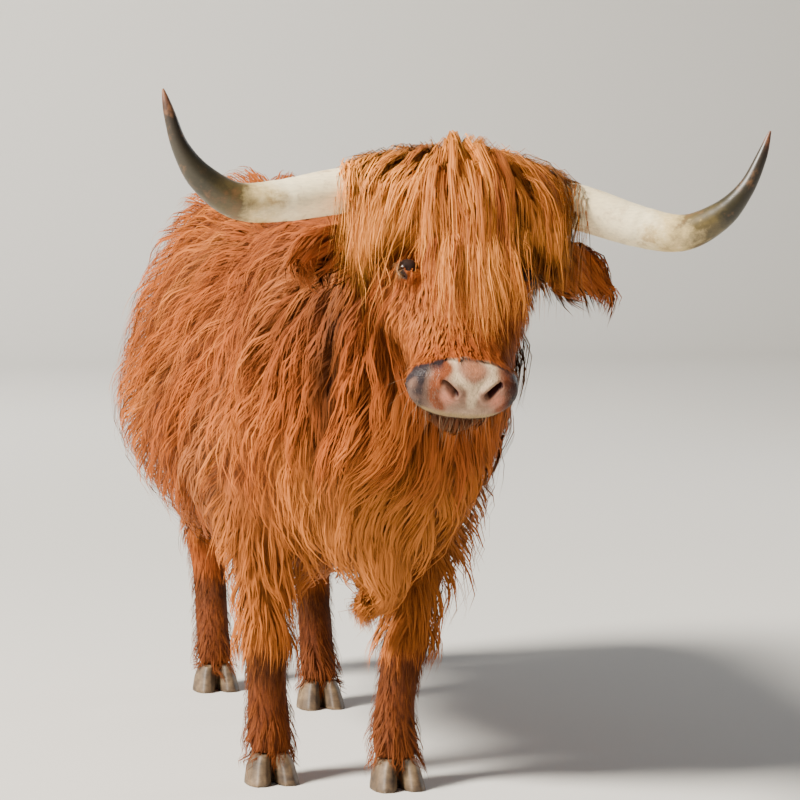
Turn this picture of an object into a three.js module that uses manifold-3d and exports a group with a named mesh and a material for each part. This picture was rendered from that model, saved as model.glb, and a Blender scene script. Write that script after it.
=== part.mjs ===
// A highland cow at life size, standing, out to the tips of its coat.
// Millimetres. +Z is up, the floor is Z = 0, the cow faces -Y and its own left is +X.
// Dimensions are taken from a point on the floor below the barrel's middle. The finished group is
// shifted at the end, so that its origin is on the floor below the middle of the cow's whole box.
import * as THREE from "three";
import { mergeVertices } from "three/addons/utils/BufferGeometryUtils.js";
import Module from "manifold-3d";

const wasm = await Module();
wasm.setup();

// Driving dimensions of the animal, coat included.
const WITHERS_HEIGHT = 1225;
const HIP_HEIGHT = 1250;
const BELLY_CLEARANCE = 405;
const BARREL_HALF_WIDTH = 378;
const SHOULDER_HALF_WIDTH = 284;
const CHEST_FRONT = -640;
const RUMP_END = 815;
const BRISKET_CLEARANCE = 304;

// The poll, the top of the skull between the horns, and how the head is carried.
const POLL = [136, -905, 1256];
const HEAD_PITCH = 49;
const HEAD_YAW = -6;
const HEAD_ROLL = 4.6;
const HEAD_LENGTH = 485;
const EYE_RADIUS = 19;

// The horns, measured from the poll: how far out and up each tip is, and where the bend is lowest.
const HORN_TIPS = { right: { reach: 592, rise: 112 }, left: { reach: 557, rise: 120 } };
const HORN_LOW_POINT = -92;
const HORN_BASE_RADIUS = 44;

// The ears: how far out each reaches from the middle of the head, how much it is raised, and how long
// its fringe hangs against that of a relaxed ear.
const EARS = { right: { reach: 334, lift: 0, fringe: 1 }, left: { reach: 312, lift: 12, fringe: 0.8 } };

// Where each foot stands, the point of the shoulder or hip that its leg hangs from, and the heights of
// the leg's joints.
const LEGS = {
  fore_right: { foot: [-156, -385], top: [-188, -345] },
  fore_left: { foot: [84, -500], top: [226, -375] },
  hind_right: { foot: [-82, 745], top: [-188, 605] },
  hind_left: { foot: [118, 455], top: [188, 590] },
};
const KNEE_HEIGHT = 312;
const HOCK_HEIGHT = 430;
const FETLOCK_HEIGHT = 128;
const CORONET_HEIGHT = 62;

// Where a leg is parted below the hock and above the fetlock, and where the tail's switch begins.
const BELOW_HOCK_HEIGHT = HOCK_HEIGHT - 30;
const ABOVE_FETLOCK_HEIGHT = FETLOCK_HEIGHT + 32;
const SWITCH_TOP = 720;

// The two dewclaws behind each fetlock.
const DEWCLAW = { radius: 15, out: 24, height: 112, behindFore: 60, behindHind: 66, form: [0.8, 0.95, 1.25] };

// Neighbouring pieces are parted by this much.
const GAP = 0.6;

// Longer than the cow, for a cut that goes right through.
const THROUGH = 4000;

const coat = new THREE.MeshStandardMaterial({ color: 0xa8592c, roughness: 0.9, metalness: 0 });
const forelockHair = new THREE.MeshStandardMaterial({ color: 0xc47a3c, roughness: 0.85, metalness: 0 });
const noseSkin = new THREE.MeshStandardMaterial({ color: 0xd9a48c, roughness: 0.55, metalness: 0 });
const hornKeratin = new THREE.MeshStandardMaterial({ color: 0xe6d3a8, roughness: 0.5, metalness: 0 });
const hoofKeratin = new THREE.MeshStandardMaterial({ color: 0x8a7358, roughness: 0.6, metalness: 0 });
const eyeGloss = new THREE.MeshStandardMaterial({ color: 0x1a100a, roughness: 0.1, metalness: 0 });

const radians = THREE.MathUtils.degToRad;

const FORWARDS = new THREE.Vector3(0, -1, 0);
const DOWN = new THREE.Vector3(0, 0, -1);

// One closed tube of changing section. Each station is a point on the line through the tube with its
// half sizes: wide to each side, over and under it. For a line that runs forwards, over is up, and for
// one that runs down, over is forwards. A power above 2 squares off the section's upper or lower half,
// and lean narrows it towards the top. The sections are square to the line, unless facing turns them all
// one way.
function loft(shape, margin = 0) {
  const { stations, sides, rings, startCap = 20, endCap = 20, capRows = 2, facing, bumps = [] } = shape;
  const curve = (read) => new THREE.CatmullRomCurve3(stations.map((s) => new THREE.Vector3(...read(s))));
  const line = curve((s) => s.at);
  const sizes = curve((s) => [s.wide, s.over, s.under]);
  const forms = curve((s) => [s.power ?? 2, s.powerUnder ?? 2, s.lean ?? 0]);
  const geometry = new THREE.SphereGeometry(1, sides, rings);
  const position = geometry.getAttribute("position");
  for (let i = 0; i < position.count; i++) {
    const row = Math.floor(i / (sides + 1));
    const turn = ((i % (sides + 1)) % sides) / sides;
    const t = THREE.MathUtils.clamp((row - capRows) / (rings - 2 * capRows), 0, 1);
    const rowsIn = Math.min(row, rings - row);
    const dome = rowsIn < capRows ? (rowsIn / capRows) * (Math.PI / 2) : Math.PI / 2;
    const cap = (row < capRows ? -(startCap + margin) : endCap + margin) * Math.cos(dome);
    const along = facing ?? line.getTangent(t);
    const side = new THREE.Vector3(1, 0, 0).addScaledVector(along, -along.x).normalize();
    const over = new THREE.Vector3().crossVectors(along, side);
    const size = sizes.getPoint(t);
    const form = forms.getPoint(t);
    const sine = Math.sin(2 * Math.PI * turn);
    const cosine = -Math.cos(2 * Math.PI * turn);
    const reach = sine > 0 ? size.y : size.z;
    const blunt = 2 / (sine > 0 ? form.x : form.y);
    const height = Math.sign(sine) * Math.abs(sine) ** blunt;
    const breadth = Math.sign(cosine) * Math.abs(cosine) ** blunt * (1 - form.z * Math.max(height, 0));
    const ring = Math.sin(dome);
    const centre = line.getPoint(t).addScaledVector(along, cap);
    const point = centre
      .clone()
      .addScaledVector(side, ring * (size.x + margin) * breadth)
      .addScaledVector(over, ring * (reach + margin) * height);
    const out = point.clone().sub(centre).normalize();
    for (const bump of bumps) {
      const near = point.distanceTo(new THREE.Vector3(...bump.at)) / bump.reach;
      point.addScaledVector(out, bump.lift * Math.exp(-near * near));
    }
    position.setXYZ(i, point.x, point.y, point.z);
  }
  return geometry;
}

// A closed geometry as a solid that can be cut and joined.
function solidOf(geometry) {
  const bare = geometry.clone();
  bare.deleteAttribute("normal");
  bare.deleteAttribute("uv");
  const merged = mergeVertices(bare, 1e-4);
  return new wasm.Manifold(
    new wasm.Mesh({
      numProp: 3,
      vertProperties: merged.getAttribute("position").array,
      triVerts: new Uint32Array(merged.index.array),
    }),
  );
}

function geometryOf(solid) {
  const mesh = solid.getMesh();
  const geometry = new THREE.BufferGeometry();
  geometry.setAttribute("position", new THREE.BufferAttribute(mesh.vertProperties, mesh.numProp));
  geometry.setIndex(new THREE.BufferAttribute(mesh.triVerts, 1));
  geometry.computeVertexNormals();
  return geometry;
}

// The same solid seen from another group's frame.
function seenFrom(group, solid, own = cow) {
  for (const g of [group, own]) g.updateWorldMatrix(true, false);
  const change = group.matrixWorld.clone().invert().multiply(own.matrixWorld);
  return solid.transform(change.elements);
}

// The largest piece that is left after a cut. Shavings at the rim of a cut are dropped.
function largest(solid) {
  return solid.decompose().sort((a, b) => b.volume() - a.volume())[0];
}

function cutBy(solid, ...others) {
  return largest(others.reduce((left, other) => left.subtract(other), solid));
}

// Parts a solid with thin cuts square to an axis of its frame, and gives the pieces in order along it.
function partAt(solid, axis, places) {
  let left = solid;
  for (const place of places) {
    const size = { x: THROUGH, y: THROUGH, z: THROUGH, [axis]: GAP };
    const cut = new THREE.BoxGeometry(size.x, size.y, size.z);
    const shift = { x: 0, y: 0, z: 0, [axis]: place };
    cut.translate(shift.x, shift.y, shift.z);
    left = left.subtract(solidOf(cut));
  }
  const index = { x: 0, y: 1, z: 2 }[axis];
  const middle = (piece) => piece.boundingBox().min[index] + piece.boundingBox().max[index];
  const pieces = left.decompose().sort((a, b) => b.volume() - a.volume());
  return pieces.slice(0, places.length + 1).sort((a, b) => middle(a) - middle(b));
}

function add(group, name, solid, material) {
  const mesh = new THREE.Mesh(geometryOf(solid), material);
  mesh.name = name;
  group.add(mesh);
}

const cow = new THREE.Group();

// ---- Trunk: from the rump forwards to the chest. ----
const trunkStations = [
  { x: 0, y: RUMP_END, top: 1120, line: 900, bottom: 650, wide: 196 },
  { x: 0, y: 745, top: 1196, line: 860, bottom: 580, wide: 268 },
  { x: 0, y: 560, top: HIP_HEIGHT, line: 795, bottom: 505, wide: 326 },
  { x: 0, y: 360, top: 1240, line: 745, bottom: 428, wide: 366 },
  { x: 0, y: 120, top: 1218, line: 738, bottom: BELLY_CLEARANCE, wide: BARREL_HALF_WIDTH },
  { x: 0, y: -130, top: 1214, line: 740, bottom: 410, wide: 344 },
  { x: 12, y: -370, top: WITHERS_HEIGHT, line: 750, bottom: 420, wide: SHOULDER_HALF_WIDTH + 12 },
  { x: 30, y: -530, top: 1190, line: 745, bottom: 450, wide: SHOULDER_HALF_WIDTH - 14 },
  { x: 44, y: CHEST_FRONT, top: 1040, line: 740, bottom: 540, wide: 176 },
];
const trunkShape = {
  stations: trunkStations.map((s) => ({
    at: [s.x, s.y, s.line],
    wide: s.wide,
    over: s.top - s.line,
    under: s.line - s.bottom,
    power: 2.6,
    powerUnder: 1.9,
    lean: 0.26,
  })),
  sides: 20,
  rings: 16,
  startCap: 32,
  endCap: 45,
  facing: FORWARDS,
};
const trunk = solidOf(loft(trunkShape));
const trunkSpace = solidOf(loft(trunkShape, GAP));
add(cow, "trunk", trunk, coat);

// ---- The head's two frames. The crown is turned and tilted as the head is, but stays level fore and
// aft, so that the horns and ears are placed by true heights. The head group also pitches down. ----
const crown = new THREE.Group();
crown.position.set(...POLL);
crown.rotation.set(0, radians(HEAD_ROLL), radians(HEAD_YAW), "ZYX");
cow.add(crown);
const head = new THREE.Group();
head.rotation.x = radians(HEAD_PITCH);
crown.add(head);

// ---- Head: from the poll forwards along the face. The line bends up at the nose, so that the bare
// muzzle looks forwards when the face points down, and it bends a little to the cow's right. ----
const NOSE_END = HEAD_LENGTH - 17;
const NOSE_TURN = -13;
const headShape = {
  stations: [
    { at: [0, 35, -95], wide: 98, over: 62, under: 92 },
    { at: [0, -50, -90], wide: 126, over: 80, under: 112 },
    { at: [0, -135, -92], wide: 140, over: 80, under: 118, lean: 0.1 },
    { at: [0, -205, -96], wide: 143, over: 78, under: 112, lean: 0.18 },
    { at: [0, -285, -98], wide: 128, over: 72, under: 88, lean: 0.24 },
    { at: [0.4 * NOSE_TURN, -355, -96], wide: 108, over: 62, under: 70, power: 2.2, lean: 0.2 },
    { at: [0.8 * NOSE_TURN, -418, -90], wide: 103, over: 56, under: 66, power: 2.3, powerUnder: 2.3, lean: 0.12 },
    { at: [NOSE_TURN, -NOSE_END, -70], wide: 101, over: 50, under: 68, power: 2.3, powerUnder: 2.4, lean: 0.1 },
  ],
  sides: 20,
  rings: 16,
  startCap: 45,
  endCap: 19,
  bumps: [
    // The brow over each eye, the hair of the cheeks, fuller on the cow's right, and the swell of each
    // nostril.
    { at: [112, -190, -40], reach: 42, lift: 12 },
    { at: [-112, -190, -40], reach: 42, lift: 12 },
    { at: [142, -150, -140], reach: 64, lift: 8 },
    { at: [-146, -155, -140], reach: 74, lift: 32 },
    { at: [-124, -255, -140], reach: 66, lift: 24 },
    { at: [66, -455, -50], reach: 34, lift: 9 },
    { at: [-72, -455, -50], reach: 34, lift: 9 },
  ],
};
const EYES = { right: [-112, -205, -52], left: [113, -205, -54] };
const NOSTRIL = { out: 44, front: -486, height: -52, radius: 15, form: [1.05, 1.3, 0.72], dip: -0.3, toe: 0.5 };
const MUZZLE_LINE = -424;

function ball(at, radius, stretch = [1, 1, 1], turn = [0, 0, 0], sides = 10) {
  const geometry = new THREE.SphereGeometry(radius, sides, Math.ceil(0.6 * sides));
  geometry.scale(...stretch);
  geometry.rotateX(turn[0]).rotateY(turn[1]).rotateZ(turn[2]);
  geometry.translate(...at);
  return solidOf(geometry);
}

const jawShape = {
  stations: [
    { at: [0, -15, -190], wide: 84, over: 62, under: 52 },
    { at: [-6, -95, -184], wide: 120, over: 70, under: 62 },
    { at: [-12, -190, -172], wide: 124, over: 66, under: 60 },
    { at: [-12, -290, -162], wide: 108, over: 46, under: 52 },
    { at: [-10, -370, -168], wide: 84, over: 36, under: 42 },
    { at: [NOSE_TURN, -450, -172], wide: 66, over: 30, under: 44, power: 2.2 },
  ],
  sides: 14,
  rings: 11,
  startCap: 30,
  endCap: 18,
};
const headWhole = solidOf(loft(headShape));
const headSpace = solidOf(loft(headShape, GAP));
const jawSpace = solidOf(loft(jawShape, GAP));
const sockets = Object.values(EYES).map((at) => ball(at, EYE_RADIUS + GAP));
const nostrils = [-1, 1].map((side) => {
  const at = [side * NOSTRIL.out, NOSTRIL.front, NOSTRIL.height];
  return ball(at, NOSTRIL.radius, NOSTRIL.form, [NOSTRIL.dip, 0, side * NOSTRIL.toe]);
});
const headCut = cutBy(headWhole, ...sockets, ...nostrils);
const [muzzle, skull] = partAt(headCut, "y", [MUZZLE_LINE]);
add(head, "head", skull, coat);
add(head, "muzzle", muzzle, noseSkin);
add(head, "lower_jaw", cutBy(solidOf(loft(jawShape)), headSpace), coat);
for (const [side, at] of Object.entries(EYES)) add(head, `eye_${side}`, ball(at, EYE_RADIUS), eyeGloss);

// ---- Horns and ears run sideways from the head. Their stations are given as for the cow's left. ----
function sidewaysLoft(shape, side, margin = 0) {
  const stations = shape.stations.map((s) => ({ ...s, at: [s.at[1], -s.at[0], s.at[2]] }));
  const geometry = loft({ ...shape, stations }, margin);
  geometry.applyMatrix4(new THREE.Matrix4().set(0, -side, 0, 0, 1, 0, 0, 0, 0, 0, 1, 0, 0, 0, 0, 1));
  if (side > 0) return geometry;
  const order = geometry.index.array;
  for (let i = 0; i < order.length; i += 3) [order[i + 1], order[i + 2]] = [order[i + 2], order[i + 1]];
  return geometry;
}

// ---- Horns: out and a little down from the poll, then up, with the tips a little forwards. The heights
// in the run are those of a horn with the middle rise, and a higher or lower tip tilts the whole horn. ----
const MIDDLE_RISE = 108;

function hornShape({ reach, rise }) {
  const r = HORN_BASE_RADIUS;
  const low = HORN_LOW_POINT;
  const run = [
    { at: [0.16, 12, -32], radius: 0.96 * r },
    { at: [0.395, 0, -54], radius: r },
    { at: [0.597, -30, -83], radius: 0.91 * r },
    { at: [0.74, -58, low + 2], radius: 0.8 * r },
    { at: [0.856, -78, low + 38], radius: 0.62 * r },
    { at: [0.93, -88, low + 90], radius: 0.39 * r },
    { at: [0.972, -92, low + 148], radius: 0.26 * r },
    { at: [1, -90, rise - 8], radius: 0.14 * r },
  ];
  return {
    stations: run.map(({ at: [part, y, z], radius }) => ({
      at: [part * reach, y, z + (rise - MIDDLE_RISE) * part],
      wide: radius,
      over: radius,
      under: radius,
    })),
    sides: 10,
    rings: 16,
    startCap: 10,
    endCap: 8,
    capRows: 1,
  };
}

const SIDES = { right: -1, left: 1 };
const hornSpaces = [];
for (const [name, side] of Object.entries(SIDES)) {
  const shape = hornShape(HORN_TIPS[name]);
  const horn = cutBy(solidOf(sidewaysLoft(shape, side)), seenFrom(crown, headSpace, head));
  add(crown, `horn_${name}`, horn, hornKeratin);
  hornSpaces.push(solidOf(sidewaysLoft(shape, side, GAP)));
}

// ---- Ears: out to each side below the horns. Under is the fringe that hangs from the ear. ----
const EAR_ROOT = 118;

function earShape({ reach, lift, fringe }) {
  const out = (part) => EAR_ROOT + part * (reach - EAR_ROOT);
  return {
    stations: [
      { at: [EAR_ROOT, 34, -122], wide: 24, over: 26, under: fringe * 62 },
      { at: [out(0.33), 42, -118 + 0.4 * lift], wide: 34, over: 30, under: fringe * 118 },
      { at: [out(0.7), 54, -130 + 0.8 * lift], wide: 36, over: 32, under: fringe * 140 },
      { at: [reach, 64, -152 + lift], wide: 26, over: 28, under: fringe * 122 },
    ],
    sides: 12,
    rings: 10,
    startCap: 8,
    endCap: 26,
  };
}
const earSpaces = [];
for (const [name, side] of Object.entries(SIDES)) {
  const shape = earShape(EARS[name]);
  const ear = solidOf(sidewaysLoft(shape, side));
  const inHead = [headSpace, jawSpace].map((s) => seenFrom(crown, s, head));
  add(crown, `ear_${name}`, cutBy(ear, ...inHead, ...hornSpaces), coat);
  earSpaces.push(solidOf(sidewaysLoft(shape, side, GAP)));
}

// ---- Forelock: the long hair that falls from the poll over the horn roots and the face. It leaves each
// eye clear. ----
const EYE_CLEARANCE = 3;

const forelockShape = {
  stations: [
    { at: [-6, 75, -40], wide: 130, over: 34, under: 60 },
    { at: [-14, 20, -14], wide: 200, over: 38, under: 95, power: 2.3 },
    { at: [-17, -45, -14], wide: 222, over: 44, under: 105, power: 2.3 },
    { at: [-16, -125, -14], wide: 198, over: 42, under: 80 },
    { at: [-12, -210, -18], wide: 162, over: 34, under: 60 },
    { at: [-8, -300, -28], wide: 108, over: 26, under: 40 },
    { at: [-6, -372, -40], wide: 54, over: 14, under: 24 },
  ],
  sides: 14,
  rings: 9,
  startCap: 14,
  endCap: 10,
};
const forelock = cutBy(
  solidOf(loft(forelockShape)),
  headSpace,
  ...[...hornSpaces, ...earSpaces].map((s) => seenFrom(head, s, crown)),
  ...Object.values(EYES).map((at) => ball(at, EYE_RADIUS + EYE_CLEARANCE)),
);
add(head, "forelock", forelock, forelockHair);

// ---- Neck: from inside the chest to the back of the head, bending a little to the cow's left. ----
const neckShape = {
  stations: [
    { at: [30, -470, 830], wide: 226, over: 320, under: 310, powerUnder: 2.2, lean: 0.2 },
    { at: [48, -600, 866], wide: 254, over: 328, under: 334, powerUnder: 2.2, lean: 0.2 },
    { at: [76, -715, 912], wide: 222, over: 296, under: 290, powerUnder: 2.2, lean: 0.16 },
    { at: [106, -808, 984], wide: 166, over: 248, under: 206, lean: 0.1 },
    { at: [122, -860, 1044], wide: 118, over: 192, under: 132 },
  ],
  sides: 18,
  rings: 10,
  startCap: 30,
  endCap: 24,
  facing: FORWARDS,
};
const onCow = (solid, own) => seenFrom(cow, solid, own);
const headOnCow = [headSpace, jawSpace].map((s) => onCow(s, head));
const crownOnCow = [...hornSpaces, ...earSpaces].map((s) => onCow(s, crown));
const forelockSpace = onCow(solidOf(loft(forelockShape, GAP)), head);
const neckSpace = solidOf(loft(neckShape, GAP));
add(cow, "neck", cutBy(solidOf(loft(neckShape)), trunkSpace, ...headOnCow, ...crownOnCow, forelockSpace), coat);

// ---- Legs. Each is one tube from inside the trunk down past the hoof's top edge, in a frame that has
// its origin where the foot stands. It is parted at the knee or hock and above the fetlock. Hang is how
// far a station still lies below the shoulder or hip: 1 is right under it, and 0 is over the foot. ----
const FORE_LINE = [
  { z: 830, hang: 1, back: 0, wide: 54, over: 92, under: 96 },
  { z: 730, hang: 1, back: 6, wide: 80, over: 112, under: 118 },
  { z: 630, hang: 1, back: 12, wide: 91, over: 106, under: 112 },
  { z: 540, hang: 0.86, back: 8, wide: 88, over: 92, under: 98 },
  { z: 430, hang: 0.5, back: -12, wide: 80, over: 74, under: 80 },
  { z: KNEE_HEIGHT, hang: 0.24, back: -16, wide: 64, over: 60, under: 58 },
  { z: 240, hang: 0.12, back: -4, wide: 48, over: 44, under: 48 },
  { z: 178, hang: 0.04, back: 2, wide: 47, over: 42, under: 54 },
  { z: FETLOCK_HEIGHT, hang: 0, back: -2, wide: 62, over: 50, under: 64 },
  { z: 92, hang: 0, back: -18, wide: 63, over: 50, under: 60 },
  { z: CORONET_HEIGHT - 12, hang: 0, back: -24, wide: 60, over: 54, under: 54 },
];
const HIND_LINE = [
  { z: 880, hang: 1, back: 0, wide: 98, over: 150, under: 170 },
  { z: 740, hang: 1, back: -18, wide: 100, over: 172, under: 190 },
  { z: 620, hang: 0.72, back: -6, wide: 92, over: 150, under: 158 },
  { z: 520, hang: 0.36, back: 42, wide: 76, over: 106, under: 98 },
  { z: HOCK_HEIGHT, hang: 0.14, back: 80, wide: 60, over: 62, under: 58 },
  { z: 350, hang: 0.06, back: 72, wide: 52, over: 50, under: 48 },
  { z: 250, hang: 0, back: 44, wide: 47, over: 42, under: 46 },
  { z: 178, hang: 0, back: 20, wide: 47, over: 42, under: 54 },
  { z: FETLOCK_HEIGHT, hang: 0, back: 6, wide: 58, over: 50, under: 62 },
  { z: 92, hang: 0, back: -14, wide: 59, over: 48, under: 60 },
  { z: CORONET_HEIGHT - 12, hang: 0, back: -22, wide: 58, over: 54, under: 54 },
];

function legShape(line, { foot, top }) {
  const [reachX, reachY] = [top[0] - foot[0], top[1] - foot[1]];
  return {
    stations: line.map(({ z, hang, back, ...size }) => ({
      at: [hang * reachX, hang * reachY + back, z],
      ...size,
    })),
    sides: 12,
    rings: 16,
    startCap: 30,
    endCap: 0,
    capRows: 1,
    facing: DOWN,
  };
}

// Half of a cloven hoof: flat on the floor, with the wall sloping back from the toe.
const CLAW_OUT = 30;

function claw(x) {
  const shape = {
    stations: [
      { at: [x, -14, CORONET_HEIGHT + 12], wide: 24, over: 44, under: 46, power: 2.1 },
      { at: [x, -22, 34], wide: 27.5, over: 52, under: 46, power: 2.2 },
      { at: [x, -31, -12], wide: 28, over: 62, under: 42, power: 2.3 },
    ],
    sides: 10,
    rings: 4,
    startCap: 6,
    endCap: 6,
    capRows: 1,
  };
  return partAt(solidOf(loft(shape)), "z", [-GAP / 2, CORONET_HEIGHT])[1];
}

function dewclaw(side, fore, margin = 0) {
  const { radius, out, height, behindFore, behindHind, form } = DEWCLAW;
  return ball([side * out, fore ? behindFore : behindHind, height], radius + margin, form, [0, 0, 0], 7);
}

const legSpaces = [];
for (const [name, stance] of Object.entries(LEGS)) {
  const fore = name.startsWith("fore");
  const leg = new THREE.Group();
  leg.position.set(...stance.foot, 0);
  cow.add(leg);
  const shape = legShape(fore ? FORE_LINE : HIND_LINE, stance);
  const whole = cutBy(solidOf(loft(shape)), seenFrom(leg, trunkSpace), seenFrom(leg, neckSpace));
  legSpaces.push(onCow(solidOf(loft(shape, GAP)), leg));
  const cuts = [CORONET_HEIGHT + GAP, ABOVE_FETLOCK_HEIGHT, fore ? KNEE_HEIGHT : BELOW_HOCK_HEIGHT];
  const dewclaws = [-1, 1].map((side) => dewclaw(side, fore, GAP));
  const [, pastern, cannon, upper] = partAt(cutBy(whole, ...dewclaws), "z", cuts);
  const legName = `${fore ? "fore" : "hind"}leg_${name.split("_")[1]}`;
  add(leg, `${legName}_upper`, upper, coat);
  add(leg, `${legName}_cannon`, cannon, coat);
  add(leg, `${legName}_pastern`, pastern, coat);
  for (const side of [-1, 1]) {
    const where = Math.sign(stance.foot[0]) === side ? "outer" : "inner";
    add(leg, `hoof_${name}_${where}`, claw(side * CLAW_OUT), hoofKeratin);
    add(leg, `dewclaw_${name}_${where}`, dewclaw(side, fore), hoofKeratin);
  }
}

// ---- Brisket: the apron of hair below the neck, down between the forelegs. ----
const brisketShape = {
  stations: [
    { at: [64, -730, 790], wide: 136, over: 66, under: 90 },
    { at: [44, -690, 680], wide: 150, over: 80, under: 110 },
    { at: [34, -645, 580], wide: 146, over: 86, under: 120 },
    { at: [32, -612, 480], wide: 122, over: 84, under: 110 },
    { at: [32, -596, 390], wide: 88, over: 66, under: 84 },
    { at: [32, -590, BRISKET_CLEARANCE + 16], wide: 40, over: 34, under: 44 },
  ],
  sides: 12,
  rings: 10,
  startCap: 16,
  endCap: 20,
  facing: DOWN,
};
const brisket = cutBy(solidOf(loft(brisketShape)), trunkSpace, neckSpace, ...headOnCow, ...legSpaces);
add(cow, "brisket", brisket, coat);

// ---- Tail: a dock that hangs from the rump, and the long switch at its end. ----
const TAIL_SIDE = 56;
const tailShape = {
  stations: [
    { at: [0, 740, 1150], wide: 40, over: 30, under: 34 },
    { at: [3, 822, 1120], wide: 44, over: 30, under: 34 },
    { at: [14, 866, 1010], wide: 42, over: 30, under: 32 },
    { at: [34, 892, 860], wide: 38, over: 30, under: 32 },
    { at: [48, 902, SWITCH_TOP], wide: 44, over: 36, under: 38 },
    { at: [TAIL_SIDE, 912, 570], wide: 64, over: 52, under: 54 },
    { at: [TAIL_SIDE + 4, 916, 420], wide: 62, over: 52, under: 54 },
    { at: [TAIL_SIDE + 8, 918, 300], wide: 34, over: 30, under: 30 },
  ],
  sides: 10,
  rings: 15,
  startCap: 12,
  endCap: 26,
};
const tail = cutBy(solidOf(loft(tailShape)), trunkSpace, ...legSpaces);
const [tailSwitch, dock] = partAt(tail, "z", [SWITCH_TOP]);
add(cow, "tail_dock", dock, coat);
add(cow, "tail_switch", tailSwitch, coat);

const model = new THREE.Group();
model.add(cow);
const middle = new THREE.Box3().setFromObject(cow, true).getCenter(new THREE.Vector3());
cow.position.set(-middle.x, -middle.y, 0);

export default model;
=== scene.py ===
# %% [markdown]
# # A highland cow at life size
# A highland cow is a wide, low animal inside a coat that hangs 5 to 20 cm off it. The CAD frame gives the
# outline out to the tips of that coat. Here the frame becomes an animal in three layers: a skin that lies
# inside the frame by the depth of the coat, a coat of some fifty thousand locks that grow from it, and the
# bare hard parts: horns, hooves and eyes. All sizes are in metres.

import math

import bmesh
import bpy
import numpy as np
from mathutils import Matrix, Vector
from mathutils.bvhtree import BVHTree
from mathutils.kdtree import KDTree


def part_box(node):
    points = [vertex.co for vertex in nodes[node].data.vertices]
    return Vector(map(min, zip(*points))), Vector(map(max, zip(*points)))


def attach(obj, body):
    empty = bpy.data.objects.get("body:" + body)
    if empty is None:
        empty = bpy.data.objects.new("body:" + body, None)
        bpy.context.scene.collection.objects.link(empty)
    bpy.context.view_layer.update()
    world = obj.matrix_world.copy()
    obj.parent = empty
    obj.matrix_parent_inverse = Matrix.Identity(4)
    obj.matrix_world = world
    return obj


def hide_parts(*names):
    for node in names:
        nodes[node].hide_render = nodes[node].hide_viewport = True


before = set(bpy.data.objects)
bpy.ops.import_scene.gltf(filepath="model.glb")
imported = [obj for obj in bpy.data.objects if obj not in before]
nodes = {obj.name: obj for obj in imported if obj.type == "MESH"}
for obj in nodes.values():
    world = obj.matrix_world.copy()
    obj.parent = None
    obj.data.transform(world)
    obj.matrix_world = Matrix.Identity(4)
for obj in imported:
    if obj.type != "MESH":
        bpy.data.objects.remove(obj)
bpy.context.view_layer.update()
scene = bpy.context.scene
print(len(nodes), "nodes in the frame")

# %% [markdown]
# ## Places on the animal
# Every place is counted from a point on the floor below the barrel. The trunk's box gives that point, so
# the pieces follow the frame if it is packed again. The crown is a frame at the poll, turned and tilted as
# the head is, and the head frame also pitches down: in it the face runs along -Y and the brow is up.

# %% Name the places
TRUNK_REACH_BACK = 0.847
trunk_low, trunk_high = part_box("trunk")
MIDDLE = Vector(((trunk_low.x + trunk_high.x) / 2, trunk_high.y - TRUNK_REACH_BACK, 0))
POLL = MIDDLE + Vector((0.136, -0.905, 1.256))
HEAD_PITCH = math.radians(49)
HEAD_YAW = math.radians(-6)
HEAD_ROLL = math.radians(4.6)
CROWN = Matrix.Translation(POLL) @ Matrix.Rotation(HEAD_YAW, 4, "Z") @ Matrix.Rotation(HEAD_ROLL, 4, "Y")
HEAD = CROWN @ Matrix.Rotation(HEAD_PITCH, 4, "X")
SIDES = {"right": -1, "left": 1}
EYES = {"right": Vector((-0.112, -0.205, -0.052)), "left": Vector((0.113, -0.205, -0.054))}
EYE_RADIUS = 0.019
CHEEKS = np.array([(-0.150, -0.175, -0.140), (0.140, -0.165, -0.140)])
CHEEK_REACH = 0.125
# The cleft runs down between cheek and neck: these are its x and z, and then its reach, front and back.
CLEFT = [(-0.035, 1.14), (-0.055, 1.03), (-0.070, 0.94), (-0.082, 0.82), (-0.082, 0.70), (-0.070, 0.64)]
CLEFT_REACH, CLEFT_FRONT, CLEFT_BACK = 0.042, -0.845, -0.55
print("poll at", [round(x, 3) for x in POLL])


# %% Helpers for places and soft borders
def seen_from(matrix, points):
    inverse = np.array(matrix.inverted())
    return points @ inverse[:3, :3].T + inverse[:3, 3]


def put_from(matrix, points):
    forward = np.array(matrix)
    return points @ forward[:3, :3].T + forward[:3, 3]


def ease(value):
    """0 below 0, 1 above 1, and a smooth step between."""
    t = np.clip(value, 0, 1)
    return t * t * (3 - 2 * t)


def hill(distance, reach):
    """1 at no distance, falling smoothly to 0 at the reach."""
    return ease(1 - distance / reach)


print("a hill 4 cm wide falls as", hill(np.linspace(0, 0.04, 5), 0.04).round(2))


# %% Helpers for distances
def from_path(points, path, columns):
    """The distance from a broken line, in some of the axes, and how far along it the nearest place is."""
    best, along = np.full(len(points), 9.0), np.zeros(len(points))
    flat = points[:, columns]
    total = len(path) - 1
    for i in range(total):
        a, b = np.array(path[i]), np.array(path[i + 1])
        t = np.clip((flat - a) @ (b - a) / ((b - a) @ (b - a)), 0, 1)
        gap = np.linalg.norm(flat - a - t[:, None] * (b - a), axis=1)
        closer = gap < best
        best = np.where(closer, gap, best)
        along = np.where(closer, (i + t) / total, along)
    return best, along


def at_cleft(points):
    """1 along the cleft in the coat where the cow's right cheek lies against the neck, and 0 away from it."""
    local = points - np.array(MIDDLE)
    gap, _ = from_path(local, CLEFT, [0, 2])
    return hill(gap, CLEFT_REACH) * ease((local[:, 1] - CLEFT_FRONT) / 0.02) * (local[:, 1] < CLEFT_BACK)


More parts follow.
